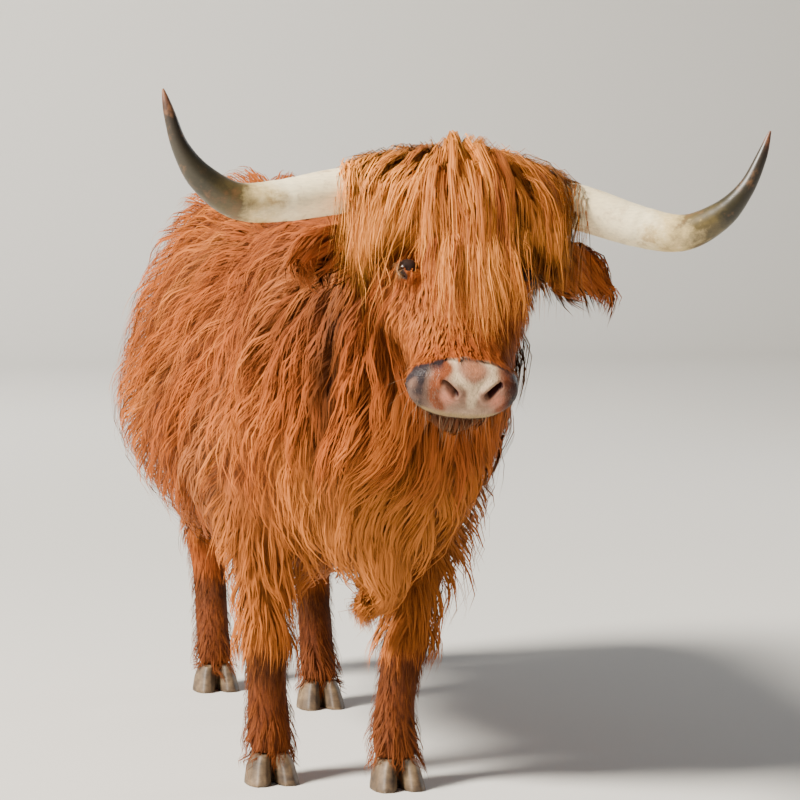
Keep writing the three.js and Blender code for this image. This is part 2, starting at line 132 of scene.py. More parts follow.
def at_cheek(points):
    """1 in the middle of each cheek, where the hair is fuller, and 0 away from both."""
    h = seen_from(HEAD, points)
    return hill(np.min([np.linalg.norm(h - c, axis=1) for c in CHEEKS], axis=0), CHEEK_REACH)


def from_eye(h):
    """The distance to the nearer eye, in the head's frame."""
    return np.min([np.linalg.norm(h - np.array(e), axis=1) for e in EYES.values()], axis=0)


print("the eyes lie", from_eye(CHEEKS).round(3), "from the middles of the cheeks")


# %% [markdown]
# ## Camera, light and floor
# The camera stands low in front, a little to the cow's right, with a long lens, so the head looks large
# against the body. One warm key comes from the cow's right and above, like a high sun, with a weak fill, so
# each lock has a lit side and the cow's left falls into shade.

# %% Set up the camera
def placed(name, data):
    """A new object in the scene, at its origin."""
    ob = bpy.data.objects.new(name, data)
    scene.collection.objects.link(ob)
    return ob


camera_data = bpy.data.cameras.new("camera")
camera_data.lens = 137.25
camera_data.sensor_width = 36
camera = placed("camera", camera_data)
camera.location = MIDDLE + Vector((-1.297, -6.539, 1.27))
camera.rotation_euler = (math.radians(85.6), 0, math.radians(-13))
scene.camera = camera
print("camera at", [round(x, 2) for x in camera.location])


# %% Set up the lights
CHEST = (0, -0.2, 0.8)
LIGHTS = {
    # name: place, size, power, colour, aimed at
    "key": ((-10.4, -2.8, 10.0), 4.4, 8400, (1.0, 0.94, 0.84), CHEST),
    "fill": ((-1.5, -7.0, 2.2), 4.0, 8, (0.95, 0.97, 1.0), CHEST),
    "rim": ((1.5, 5.0, 4.0), 3.0, 22, (1.0, 0.98, 0.95), CHEST),
    "side": ((6.5, 4.0, 3.0), 4.0, 190, (0.96, 0.98, 1.0), CHEST),
    "wall": ((-1.0, 8.0, 6.5), 5.0, 620, (1.0, 0.98, 0.95), (-1.0, 15.5, 1.0)),
}


def softbox(name, place, size, power, colour, at):
    data = bpy.data.lights.new(name, "AREA")
    data.shape = "DISK"
    data.size = size
    data.energy = power
    data.color = colour
    ob = placed(name, data)
    ob.location = place
    ob.rotation_euler = (Vector(at) - ob.location).to_track_quat("-Z", "Y").to_euler()


for name, settings in LIGHTS.items():
    softbox(name, *settings)
world = bpy.data.worlds.new("studio")
world.use_nodes = True
sky = world.node_tree.nodes["Background"].inputs
sky["Color"].default_value = (0.86, 0.9, 1.0, 1)
sky["Strength"].default_value = 0.15
scene.world = world
print(len(LIGHTS), "soft lights and a faint sky")


# %% Lay the floor
def linear(red, green, blue):
    """A colour as it looks on a screen, 0 to 255, as the light that a shader mixes."""
    share = np.array([red, green, blue]) / 255
    return np.where(share > 0.04045, ((share + 0.055) / 1.055) ** 2.4, share / 12.92)


def new_material(name):
    material = bpy.data.materials.new(name)
    material.use_nodes = True
    tree = material.node_tree
    return material, tree, tree.nodes["Principled BSDF"]


def shade_smooth(mesh):
    for face in mesh.polygons:
        face.use_smooth = True


FLOOR_HALF_WIDTH, FLOOR_FRONT, FLOOR_BACK = 22.0, -22.0, 13.0
WALL_BEND, WALL_TOP, BEND_STEPS = 2.5, 9.0, 12


def floor_sheet():
    """A pale sheet that lies flat under the animal and curves up into a wall behind it."""
    turn = [math.pi / 2 * i / BEND_STEPS for i in range(BEND_STEPS + 1)]
    bend = [(FLOOR_BACK + WALL_BEND * math.sin(a), WALL_BEND * (1 - math.cos(a))) for a in turn]
    profile = [(FLOOR_FRONT, 0.0), *bend, (FLOOR_BACK + WALL_BEND, WALL_TOP)]
    points = [(x, y, z) for y, z in profile for x in (-FLOOR_HALF_WIDTH, FLOOR_HALF_WIDTH)]
    faces = [(2 * i, 2 * i + 1, 2 * i + 3, 2 * i + 2) for i in range(len(profile) - 1)]
    mesh = bpy.data.meshes.new("floor")
    mesh.from_pydata(points, [], faces)
    shade_smooth(mesh)
    return mesh


floor = placed("floor", floor_sheet())
floor_paint, _, floor_shader = new_material("floor paint")
floor_shader.inputs["Base Color"].default_value = (*linear(206, 204, 199), 1)
floor_shader.inputs["Roughness"].default_value = 0.85
floor.data.materials.append(floor_paint)
print("floor laid from", FLOOR_FRONT, "to", FLOOR_BACK + WALL_BEND)

# %% [markdown]
# ## The coat's regions
# A highland coat is not one length. It is longest on the brisket, the tail and the forelock, long and wavy
# on neck and flank, and short below the knee and on the face. One table holds, for each region of the
# body: how far the skin lies inside the frame, how high the locks stand off the skin, how long and wide a
# lock is, how many there are and in how many steps each one bends, how far apart the tufts are that they
# gather in, and how much they wave.

# %% The table of regions
REGIONS = {
    # name: inset, rise, length, width, locks, steps, tuft, wave
    "trunk": (0.038, 0.042, 0.125, 0.0044, 13300, 5, 0.040, 0.0026),
    "neck": (0.043, 0.044, 0.165, 0.0042, 5200, 6, 0.044, 0.0036),
    "brisket": (0.010, 0.050, 0.190, 0.0044, 2700, 7, 0.040, 0.0070),
    "upper": (0.026, 0.022, 0.080, 0.0040, 4500, 4, 0.028, 0.0020),
    "cannon": (0.003, 0.008, 0.042, 0.0021, 3200, 3, 0.016, 0.001),
    "pastern": (0.012, 0.010, 0.066, 0.0026, 2200, 3, 0.018, 0.002),
    "head": (0.012, 0.007, 0.048, 0.0026, 7800, 4, 0.018, 0.0),
    "lower_jaw": (0.008, 0.013, 0.056, 0.0030, 2200, 4, 0.020, 0.002),
    "muzzle": (0.001, 0.002, 0.008, 0.0012, 0, 3, 0.010, 0.0),
    "ear": (0.000, 0.020, 0.120, 0.0042, 2700, 5, 0.020, 0.0030),
    "dock": (0.016, 0.014, 0.080, 0.0044, 800, 4, 0.020, 0.002),
    "switch": (0.034, 0.034, 0.240, 0.0050, 1000, 6, 0.022, 0.006),
}
COLUMNS = ("inset", "rise", "length", "width", "locks", "steps", "tuft", "wave")
NAMES = list(REGIONS)
TABLE = {c: np.array([REGIONS[n][i] for n in NAMES]) for i, c in enumerate(COLUMNS)}
print(int(TABLE["locks"].sum()), "locks planned beside the forelock")


REGION_WORDS = {
    "_upper": "upper", "_cannon": "cannon", "_pastern": "pastern", "ear_": "ear",
    "tail_dock": "dock", "tail_switch": "switch",
}


def region_of(node):
    for word, name in REGION_WORDS.items():
        if word in node:
            return name
    return node


# %% [markdown]
# ## The skin
# The frame parts the animal with thin cuts. To lose them, welded copies of its flesh are swollen by a
# hair's breadth so that they overlap, and a voxel remesh wraps them in one closed surface. It is then
# drawn inwards by each region's depth of coat and remeshed again, so every seam is gone.

# %% Gather the flesh
COATED = [n for n in nodes if region_of(n) in REGIONS]
FLESH = [n for n in COATED if n != "brisket" and not n.startswith("ear_")]
OVERLAP = 0.0015
print(len(COATED), "nodes carry the coat, and", len(FLESH), "of them are wrapped as they are")


def read(items, what, width, kind=np.float32):
    """One property of a mesh's points, edges or faces, as a row for each."""
    flat = np.empty(len(items) * width, kind)
    items.foreach_get(what, flat)
    return flat.reshape(-1, width)


def positions(mesh):
    return read(mesh.vertices, "co", 3).astype(float)


def welded(name, swell=0.0):
    """A closed copy of a CAD node, as points and faces, swollen a little along its normals."""
    shell = bmesh.new()
    shell.from_mesh(nodes[name].data)
    bmesh.ops.remove_doubles(shell, verts=shell.verts, dist=1e-5)
    shell.normal_update()
    points = np.array([v.co + v.normal * swell for v in shell.verts])
    faces = [[v.index for v in f.verts] for f in shell.faces]
    shell.free()
    return points, faces


# %% Shape the dewlap, the ears and the poll
DEWLAP_SHARE = [0.5, 0.86, 0.72]
DEWLAP_FRONT = 0.25


def dewlap():
    """The fold of skin inside the brisket's apron of hair: narrower than it, and shorter."""
    points, faces = welded("brisket")
    low, high = points.min(0), points.max(0)
    fixed = np.array([(low[0] + high[0]) / 2, low[1] + DEWLAP_FRONT, high[2]])
    return fixed + (points - fixed) * DEWLAP_SHARE, faces


def moulded(shape, winding=1):
    """A ball whose points a rule moves to places in the crown's frame, as points and faces."""
    ball = bmesh.new()
    bmesh.ops.create_uvsphere(ball, u_segments=24, v_segments=16, radius=1)
    points = np.array([CROWN @ shape(v.co) for v in ball.verts])
    faces = [[v.index for v in f.verts][::winding] for f in ball.faces]
    ball.free()
    return points, faces


EAR_OUT, EAR_BACK, EAR_DOWN = 0.205, 0.050, 0.146
EAR_HALF_LENGTH, EAR_HALF_WIDTH, EAR_HALF_THICKNESS = 0.110, 0.056, 0.014
EAR_CUP, EAR_DROOP = 0.016, 0.014


def ear_leaf(side):
    """The ear inside its fringe: a cupped leaf that points outwards and hangs a little."""
    def shape(on_ball):
        along, thick, tall = on_ball
        wide = EAR_HALF_WIDTH * (1 - 0.35 * along)
        x = EAR_OUT + EAR_HALF_LENGTH * along
        y = EAR_BACK + EAR_HALF_THICKNESS * thick + EAR_CUP * tall * tall
        z = -EAR_DOWN - EAR_DROOP * along + wide * tall
        return Vector((side * x, y, z))

    return moulded(shape, side)


POLL_SWELLINGS = [
    # middle, half size: the ridge between the horns and the root of each
    ((-0.010, 0.006, -0.026), (0.150, 0.062, 0.062)),
    ((-0.116, 0.008, -0.034), (0.098, 0.060, 0.058)),
    ((0.094, 0.008, -0.034), (0.090, 0.060, 0.058)),
]


def swelling(middle, size):
    """An oval lump of skin on the poll."""
    return moulded(lambda on_ball: Vector(middle) + on_ball * Vector(size))


def gathered(parts):
    points, faces, start = [], [], 0
    for part_points, part_faces in parts:
        points.append(part_points)
        faces += [[start + i for i in f] for f in part_faces]
        start += len(part_points)
    mesh = bpy.data.meshes.new("flesh")
    mesh.from_pydata(np.concatenate(points).tolist(), [], faces)
    return mesh


extras = [dewlap(), ear_leaf(-1), ear_leaf(1)] + [swelling(*lump) for lump in POLL_SWELLINGS]
flesh = gathered([welded(n, OVERLAP) for n in FLESH] + extras)
print(len(FLESH), "nodes of flesh,", len(flesh.polygons), "faces")


# %% Wrap the flesh in one surface
def evaluated(ob):
    return bpy.data.meshes.new_from_object(ob.evaluated_get(bpy.context.evaluated_depsgraph_get()))


def remeshed(mesh, voxel):
    ob = placed("wrap", mesh)
    wrap = ob.modifiers.new("wrap", "REMESH")
    wrap.mode = "VOXEL"
    wrap.voxel_size = voxel
    wrapped = evaluated(ob)
    bpy.data.objects.remove(ob)
    return wrapped


def edge_pairs(mesh):
    return read(mesh.edges, "vertices", 2, np.int32)


def blurred(values, pairs, rounds, strength=0.5):
    """Values at a mesh's points, each drawn towards the mean of its neighbours."""
    a, b = pairs.T
    count = np.bincount(a, minlength=len(values)) + np.bincount(b, minlength=len(values))
    flat = values.reshape(len(values), -1)
    for _ in range(rounds):
        total = np.stack(
            [np.bincount(a, v[b], len(v)) + np.bincount(b, v[a], len(v)) for v in flat.T], axis=1
        )
        flat = flat + strength * (total / count[:, None] - flat)
    return flat.reshape(values.shape)


def set_positions(mesh, points):
    mesh.vertices.foreach_set("co", points.astype(np.float32).ravel())
    mesh.update()


def normals_of(mesh):
    return read(mesh.vertex_normals, "vector", 3).astype(float)


# %% Share a mesh out among the regions
class Outline:
    """The coated nodes' own faces, to ask which region is nearest to a place."""

    def __init__(self):
        parts = [welded(n) for n in COATED]
        owners = [region_of(n) for n in COATED]
        points, faces, self.owner, start = [], [], [], 0
        for (part_points, part_faces), owner in zip(parts, owners):
            points += part_points.tolist()
            faces += [[start + i for i in f] for f in part_faces]
            self.owner += [NAMES.index(owner)] * len(part_faces)
            start += len(part_points)
        self.tree = BVHTree.FromPolygons(points, faces)

    def regions(self, points):
        return np.array([self.owner[self.tree.find_nearest(Vector(p))[2]] for p in points])


outline = Outline()
print(len(outline.owner), "faces of the frame tell which region is nearest")


def shares(mesh, rounds):
    """For each point of a mesh, how much it belongs to each region, blended over the borders."""
    own = np.eye(len(NAMES))[outline.regions(positions(mesh))]
    return blurred(own, edge_pairs(mesh), rounds)


# %% Draw the skin inwards
BODY_VOXEL = 0.0130
HOOF_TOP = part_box("hoof_fore_right_outer")[1].z
BACK_HEIGHT, BACK_RISE = 1.02, 0.012
CHEEK_INSET, CLEFT_INSET = 0.010, 0.034
CUFF = 0.04
hull = remeshed(flesh, BODY_VOXEL)
set_positions(hull, blurred(positions(hull), edge_pairs(hull), 6))
outer = positions(hull)
on_back = ease((outer[:, 2] - BACK_HEIGHT) / 0.12) * (outer[:, 1] > POLL.y + 0.15)
inset = shares(hull, 8) @ TABLE["inset"] + CHEEK_INSET * at_cheek(outer)
inset += CLEFT_INSET * at_cleft(outer)
inset -= BACK_RISE * on_back
drawn_in = outer - normals_of(hull) * inset[:, None]
# The skin of each leg reaches down past the top of the hooves, so that no gap opens there.
drawn_in[:, 2] -= (inset + BODY_VOXEL) * np.clip((HOOF_TOP + CUFF - drawn_in[:, 2]) / CUFF, 0, 1)
set_positions(hull, blurred(drawn_in, edge_pairs(hull), 4))
skin_mesh = remeshed(hull, BODY_VOXEL)
print(len(hull.vertices), "points in the hull,", len(skin_mesh.vertices), "in the skin")


# %% Keep the one outer surface
def keep_largest(mesh):
    shell = bmesh.new()
    shell.from_mesh(mesh)
    unseen = set(shell.verts)
    islands = []
    while unseen:
        island, edge = set(), [unseen.pop()]
        while edge:
            v = edge.pop()
            island.add(v)
            for e in v.link_edges:
                other = e.other_vert(v)
                if other in unseen:
                    unseen.discard(other)
                    edge.append(other)
        islands.append(island)
    islands.sort(key=len, reverse=True)
    print("islands of", [len(i) for i in islands][:6], "points")
    bmesh.ops.delete(shell, geom=[v for i in islands[1:] for v in i], context="VERTS")
    shell.to_mesh(mesh)
    shell.free()


keep_largest(skin_mesh)
set_positions(skin_mesh, blurred(positions(skin_mesh), edge_pairs(skin_mesh), 3))


# %% [markdown]
# The head needs finer skin than the barrel: the body's points lie 13 mm apart, the face's 3 mm, the
# nostrils' under 2 mm and the lids' under 1 mm. So the faces there are divided once on all the head and
# up to three times more on its details, and smoothed without shrinking after each time.

# %% Refine the head
def rounded(mesh, moving, rounds):
    """Smooths without shrinking: each pass inwards is followed by one outwards."""
    pairs = edge_pairs(mesh)
    points = positions(mesh)
    for _ in range(rounds):
        for strength in (0.5, -0.52):
            points = np.where(moving[:, None], blurred(points, pairs, 1, strength), points)
    set_positions(mesh, points)


def divided(mesh, inside):
    shell = bmesh.new()
    shell.from_mesh(mesh)
    chosen = [f for f in shell.faces if any(inside[v.index] for v in f.verts)]
    edges = list({e for f in chosen for e in f.edges})
    bmesh.ops.subdivide_edges(shell, edges=edges, cuts=1, use_grid_fill=True)
    many = [f for f in shell.faces if len(f.verts) > 4]
    bmesh.ops.triangulate(shell, faces=many)
    shell.to_mesh(mesh)
    shell.free()


def on_head(points):
    h = seen_from(HEAD, points)
    return (h[:, 1] < 0.0) & (np.abs(h[:, 0]) < 0.16) & (h[:, 2] > -0.26) & (h[:, 1] > -0.6)


def on_face(points):
    h = seen_from(HEAD, points)
    return on_head(points) & ((h[:, 1] < -0.26) | (from_eye(h) < 0.07))


def on_details(points):
    h = seen_from(HEAD, points)
    return (from_eye(h) < 0.040) | (on_head(points) & (h[:, 1] < -0.430) & (h[:, 2] > -0.150))


def on_lids(points):
    return from_eye(seen_from(HEAD, points)) < 0.033


for chosen in (on_head, on_face, on_details, on_lids):
    divided(skin_mesh, chosen(positions(skin_mesh)))
    rounded(skin_mesh, chosen(positions(skin_mesh)), 3)
skin_triangles = sum(len(f.vertices) - 2 for f in skin_mesh.polygons)
print(len(skin_mesh.vertices), "points,", skin_triangles, "triangles of skin")

# %% [markdown]
# ## The face
# What the coat leaves bare has to be modelled: the broad muzzle with its comma-shaped nostrils, the line
# of the mouth, and the lids round each eye. Each is a formula in the head frame that says how far a point
# of the skin moves, so its size can be changed by one number.


# %% Shape the muzzle
NOSTRIL_PATH = [(0.052, -0.047), (0.046, -0.049), (0.040, -0.053), (0.034, -0.058), (0.030, -0.062)]
NOSTRIL_DEPTH, NOSTRIL_LIP = 0.020, 0.0040
DENT_SIDE, DENT_FORWARDS, DENT_DOWN, DENT_REACH = 0.044, -0.478, -0.052, 0.034
MOUTH_PATH = [(-0.50, -0.138), (-0.46, -0.140), (-0.42, -0.147), (-0.36, -0.152)]
MOUTH_DEPTH, LIP_RISE = 0.007, 0.003
PAD_EDGE = -0.424


def filled_nostrils(mesh):
    """Smooths away the frame's plain dents, so that finer nostrils can be made in their place."""
    h = seen_from(HEAD, positions(mesh))
    for side in SIDES.values():
        from_dent = (h - [DENT_SIDE * side, DENT_FORWARDS, DENT_DOWN]) * [1, 0.6, 1]
        dent = np.linalg.norm(from_dent, axis=1) < DENT_REACH
        points = positions(mesh)
        pairs = edge_pairs(mesh)
        for _ in range(60):
            points = np.where(dent[:, None], blurred(points, pairs, 1), points)
        set_positions(mesh, points)


def shape_muzzle(h):
    """Broadens the muzzle, then sinks the nostrils inside raised rims, and the mouth's line between lips."""
    broad = 0.11 * ease((-0.395 - h[:, 1]) / 0.03) * ease((h[:, 2] + 0.16) / 0.04)
    h = h * np.stack([1 + broad, 1 + 0 * broad, 1 + 0 * broad], axis=1)
    front = ease((-0.445 - h[:, 1]) / 0.02)
    for side in SIDES.values():
        mirrored = h * [side, 1, 1]
        gap, along = from_path(mirrored, NOSTRIL_PATH, [0, 2])
        radius = 0.0026 + 0.0026 * along
        facing = front * (mirrored[:, 0] > 0)
        rim = hill(np.abs(gap - radius - 0.006), 0.009) * facing
        pit = hill(gap, radius * 1.4) * facing
        h = h + np.outer(rim * NOSTRIL_LIP - pit * NOSTRIL_DEPTH, [0, -1, 0.1])
    gap, along = from_path(h, MOUTH_PATH, [1, 2])
    groove = hill(gap, 0.009) * MOUTH_DEPTH
    lip = hill(np.abs(gap - 0.014), 0.012) * LIP_RISE
    inward = -h * [1, 0.35, 0]
    inward[:, 1] = (h[:, 1] < -0.44) * 0.06
    length = np.maximum(np.linalg.norm(inward, axis=1), 1e-6)
    below = h[:, 2] < -0.10
    return h + inward / length[:, None] * ((groove - lip) * below * (h[:, 1] < -0.33))[:, None]


print("two nostrils", NOSTRIL_DEPTH, "deep and a mouth line", MOUTH_DEPTH, "deep")


# %% Shape the lids
# In an eye's own frame the first axis runs along the slit towards the nose, the second up across it, and
# the third out of the head.
SLIT_HALF_LENGTH = 0.0160
SLIT_RISE, SLIT_DROP = 0.0068, 0.0060
LID_THICKNESS = 0.0026
SOCKET_REACH, LID_REACH, SOCKET_BORDER = 0.036, 0.022, 0.014
EYE_SETBACK = 0.003


def eye_frame(side):
    out = Vector((0.80 * side, -0.50, 0.30)).normalized()
    along = Vector((0, -1, -0.12))
    along = (along - out * along.dot(out)).normalized()
    up = out.cross(along) * side
    up = up if up.z > 0 else -up
    turn = Matrix((along, up, out)).transposed()
    return Matrix.Translation(EYES["left" if side > 0 else "right"]) @ turn.to_4x4()


def lid_folds(a, b):
    """How deep the creases above and below the lids are at each place."""
    upper = 0.0030 * hill(np.abs(b - 0.0155 - 0.15 * a), 0.004) * (b > 0)
    return upper + 0.002 * hill(np.abs(b + 0.0150), 0.004)


def shape_lids(h):
    """Lays the skin over each eyeball as a dome of lid, open along the slit, and eases it into the face."""
    for side in SIDES.values():
        local = seen_from(eye_frame(side), h)
        a, b, c = local.T
        radius = np.hypot(a, b)
        near = (radius < SOCKET_REACH) & (c > -0.02)
        taper = np.clip(1 - (a / SLIT_HALF_LENGTH) ** 2, 0, 1) ** 0.75
        reach = np.where(b > 0, SLIT_RISE, SLIT_DROP) * taper
        inside = (np.abs(a) < SLIT_HALF_LENGTH) & (np.abs(b) < reach)
        ball = EYE_RADIUS + LID_THICKNESS
        lid = np.sqrt(np.maximum(ball**2 - radius**2, 0.0001))
        creased = lid - lid_folds(a, b)
        raised = np.maximum(c, creased) * ease((SOCKET_REACH - radius) / SOCKET_BORDER)
        raised += c * ease((radius - LID_REACH) / SOCKET_BORDER)
        raised = np.where(radius < LID_REACH, np.maximum(creased, np.minimum(c, lid)), raised)
        local[:, 2] = np.where(near, np.where(inside, EYE_SETBACK, raised), c)
        h = put_from(eye_frame(side), local)
    return h


filled_nostrils(skin_mesh)
head_points = seen_from(HEAD, positions(skin_mesh))
face = on_head(positions(skin_mesh))
head_points[face] = shape_lids(shape_muzzle(head_points[face]))
set_positions(skin_mesh, put_from(HEAD, head_points))
print(int(face.sum()), "points of skin on the head")

# %% [markdown]
# ## The lie of the coat
# Hair does not stand straight up from skin. Along the back it parts and runs out and backwards, on the
# flanks and legs it hangs down, and on the face it runs from the brow to the nose. That lie is a field of
# directions on the skin, blended over the borders and turned a little by slow ripples, which give the
# swirls of a real coat.


# %% Work out the lie
def ripple(points, size, seed):
    """A smooth field between about -1 and 1, made of a few waves in steady random directions."""
    rng = np.random.default_rng(seed)
    total = np.zeros(len(points))
    for _ in range(5):
        way = rng.normal(size=3)
        way *= rng.uniform(0.7, 1.4) / np.linalg.norm(way)
        total += np.sin(points @ way * (2 * math.pi / size) + rng.uniform(0, 2 * math.pi))
    return total / 2.6


def unit(vectors):
    return vectors / np.maximum(np.linalg.norm(vectors, axis=-1, keepdims=True), 1e-9)


def flatten(vectors, normals):
    """What is left of each vector along the surface, at length 1."""
    return unit(vectors - normals * np.sum(vectors * normals, axis=1, keepdims=True))


HANGING = {
    "upper": (0.1, 0.12, -1), "cannon": (0, 0.05, -1), "pastern": (0, 0.25, -1),
    "brisket": (0, 0.0, -1), "dock": (0.0, 0.25, -1), "switch": (0, 0, -1),
}
print("hair simply hangs on", ", ".join(HANGING))


def raw_lie(points, regions):
    local = points - np.array(MIDDLE)
    x, y, z = local.T
    side = np.sign(x - 0.12 * ease((-y - 0.3) / 0.5))
    top = ease((z - 1.0) / 0.18)
    lie = np.stack([0.25 * side + 0.5 * side * top, 0.30 + 0.45 * top, -1 + 0.55 * top], axis=1)
    chest = ease((-y - 0.45) / 0.15)
    lie[:, 1] -= chest * 0.25
    head_turn = np.array(HEAD.to_3x3())
    h = seen_from(HEAD, points)
    brow = np.stack([1.2 * h[:, 0], -1.0 + 0 * x, -0.25 + 0 * x], axis=1)
    cheek = np.stack([0.1 * np.sign(h[:, 0]), -0.55 + 0 * x, -0.8 + 0 * x], axis=1)
    sideways = ease((np.abs(h[:, 0]) - 0.075) / 0.035)[:, None] * ease((-0.05 - h[:, 2]) / 0.05)[:, None]
    on_skull = (brow * (1 - sideways) + cheek * sideways) @ head_turn.T
    for name, vector in HANGING.items():
        lie[regions == NAMES.index(name)] = vector
    for name in ("head", "muzzle"):
        chosen = regions == NAMES.index(name)
        lie[chosen] = on_skull[chosen]
    chosen = regions == NAMES.index("lower_jaw")
    lie[chosen] = np.array([0, -0.45, -0.8]) @ head_turn.T
    chosen = regions == NAMES.index("ear")
    out = np.array(CROWN.to_3x3().col[0]) * side[:, None]
    lie[chosen] = (0.9 * out + [0, 0.1, -0.8])[chosen]
    return lie


# %% Blend the lie over the skin
def share_of(*names):
    """How much each point of the skin belongs to any of these regions."""
    return skin_shares[:, [NAMES.index(n) for n in names]].sum(1)


skin_points = positions(skin_mesh)
skin_normals = normals_of(skin_mesh)
skin_shares = shares(skin_mesh, 6)
lie = blurred(raw_lie(skin_points, skin_shares.argmax(1)), edge_pairs(skin_mesh), 12)
lie = flatten(lie, skin_normals)
swirl = 0.42 * ripple(skin_points, 0.32, 11) + 0.22 * ripple(skin_points, 0.13, 12)
calm = share_of("head", "muzzle", "cannon", "pastern", "lower_jaw")
swirl *= 1 - 0.75 * calm
across = np.cross(skin_normals, lie)
lie = flatten(lie * np.cos(swirl)[:, None] + across * np.sin(swirl)[:, None], skin_normals)
print("lie worked out at", len(lie), "points;", dict(zip(NAMES, skin_shares.sum(0).astype(int))))

# %% [markdown]
# ## Colours of the coat
# The coat is ginger: dark red-brown where it is short, orange over the body, and straw-gold on the forelock.
# A formula of place gives each lock its colour. It holds painted light on the top, the breast, the upper
# forelegs and the left ear, and painted shade in the cleft and round the knees. The skin below takes the same
# formula, darker as painted shade, so a gap between locks shows depth and not a bald patch.

# %% Mix the coat's colours
GINGER = linear(154, 76, 28)
RUST = linear(114, 55, 23)
EMBER = linear(70, 37, 17)
AMBER = linear(182, 107, 48)
GOLD = linear(228, 144, 62)
DUST = linear(142, 92, 58)


def mixed(one, other, share):
    return one + (other - one) * np.clip(share, 0, 1)[:, None]


def between(values, low, low_border, high, high_border):
    """1 between two limits, with a soft border that lies inside each of them, and 0 beyond."""
    return ease((high - values) / high_border) * ease((values - low) / low_border)


def coat_tone(points, lot):
    """The colour of a lock that grows at each place. Lot is a number per lock, about -1 to 1. Painted light
    lies on the top, the breast, the upper forelegs and the left ear, and painted shade in the cleft and round
    the knees.
    """
    _, y, z = (points - np.array(MIDDLE)).T
    h = seen_from(HEAD, points)
    crown = seen_from(CROWN, points)
    # Painted light: the top of the back is made a little lighter with amber.
    high = ease((z - 0.95) / 0.3)
    # Painted light: the breast is made lighter with amber and gold, as if it were lit.
    breast = ease((-0.45 - y) / 0.15) * between(z, 0.38, 0.06, 0.80, 0.15)
    dusty = ease(1.2 * ripple(points, 0.33, 23)) * between(z, 0.45, 0.1, 0.98, 0.2) * (y > -0.35)
    low = ease((0.30 - z) / 0.09)
    shoulder = ease((-0.30 - y) / 0.25) * ease((1.16 - z) / 0.1) * (h[:, 1] > 0.02)
    ear = ease((np.abs(crown[:, 0]) - 0.13) / 0.05) * ease((-0.05 - crown[:, 2]) / 0.04)
    # Painted light: the cow's left ear, which lies in the head's shade, gets far less rust than the right, so
    # it is painted lighter.
    ear *= np.where(crown[:, 0] < 0, 0.55, 0.1) * (np.abs(crown[:, 1] - 0.05) < 0.12)
    # Painted shade: the coat is darkened round the knees, where the forearm's fringe of hair shades them.
    knee = hill(np.abs(z - 0.245), 0.06)
    # Painted light: the upper forelegs are made lighter with amber.
    foreleg = between(z, 0.27, 0.04, 0.66, 0.10) * ease((-0.25 - y) / 0.08)
    chin = between(h[:, 2], -0.26, 0.03, -0.13, 0.02) * ease((-0.30 - h[:, 1]) / 0.06)
    chin *= np.abs(h[:, 0]) < 0.13
    tone = np.tile(GINGER, (len(points), 1))
    for colour, share in (
        (RUST, 0.25 + 0.60 * ripple(points, 0.36, 21) - 0.5 * lot),
        (AMBER, 0.55 * lot + 0.45 * ripple(points, 0.24, 22) + 0.15 * high),
        (AMBER, 0.55 * breast),
        (GOLD, 0.18 * breast),
        (DUST, 0.5 * dusty),
        (RUST, 0.75 * low),
        (EMBER, 0.45 * low),
        (RUST, 0.35 * shoulder),
        (RUST, ear),
        # Painted shade: the coat is darkened with ember along the cleft behind the right cheek.
        (EMBER, 0.85 * at_cleft(points)),
        (EMBER, 0.7 * knee),
        (AMBER, 0.6 * foreleg),
        (EMBER, 0.9 * chin),
    ):
        tone = mixed(tone, colour, share)
    return tone


print("a lock on the back is", coat_tone(np.array([MIDDLE + Vector((0, 0, 1.2))]), 0).round(2)[0])


# %% [markdown]
# The bare skin of the muzzle has its own colours, again by formula: pale pink-cream over the middle and the
# bridge between the nostrils, tan on top, a red-brown ring outside each nostril, a grey-purple rim round
# the sides, olive along the lip, slate on the cow's left side that is partly pigment and partly painted
# shade, and nostrils painted near-black as painted shade.

# %% Mix the muzzle's colours
PINK = linear(150, 112, 92)
CREAM = linear(214, 186, 152)
BLUSH = linear(214, 134, 106)
FROST = linear(98, 78, 67)
SLATE = linear(40, 31, 34)
TAN = linear(170, 98, 58)
UMBER = linear(128, 66, 36)
OLIVE = linear(158, 132, 88)
LINING_AND_SHADE = linear(46, 16, 14)
LID = linear(74, 52, 44)
LID_RIM = linear(150, 120, 96)
MUZZLE_MIDDLE = 0.003
RING_PATH = [(0.048, -0.029), (0.062, -0.036), (0.071, -0.054), (0.069, -0.078), (0.056, -0.096)]
BRIDGE_PATH = [(0.056, -0.030), (0.030, -0.041), (0.006, -0.050), (0.002, -0.084)]


def pad_top(h):
    """How far forwards the coat comes at each place across the muzzle."""
    return PAD_EDGE + 0.014 - 0.013 * (h[:, 0] / 0.1) ** 2 + 0.004 * ripple(h, 0.03, 31)


def bareness(h):
    """1 on the bare muzzle and the lids' rims, and 0 where the coat grows."""
    return ease((pad_top(h) - h[:, 1]) / 0.010) * ease((h[:, 2] + 0.146) / 0.010)


print("the coat ends", -pad_top(np.zeros((1, 3))).round(3)[0], "from the poll, in the middle of the muzzle")


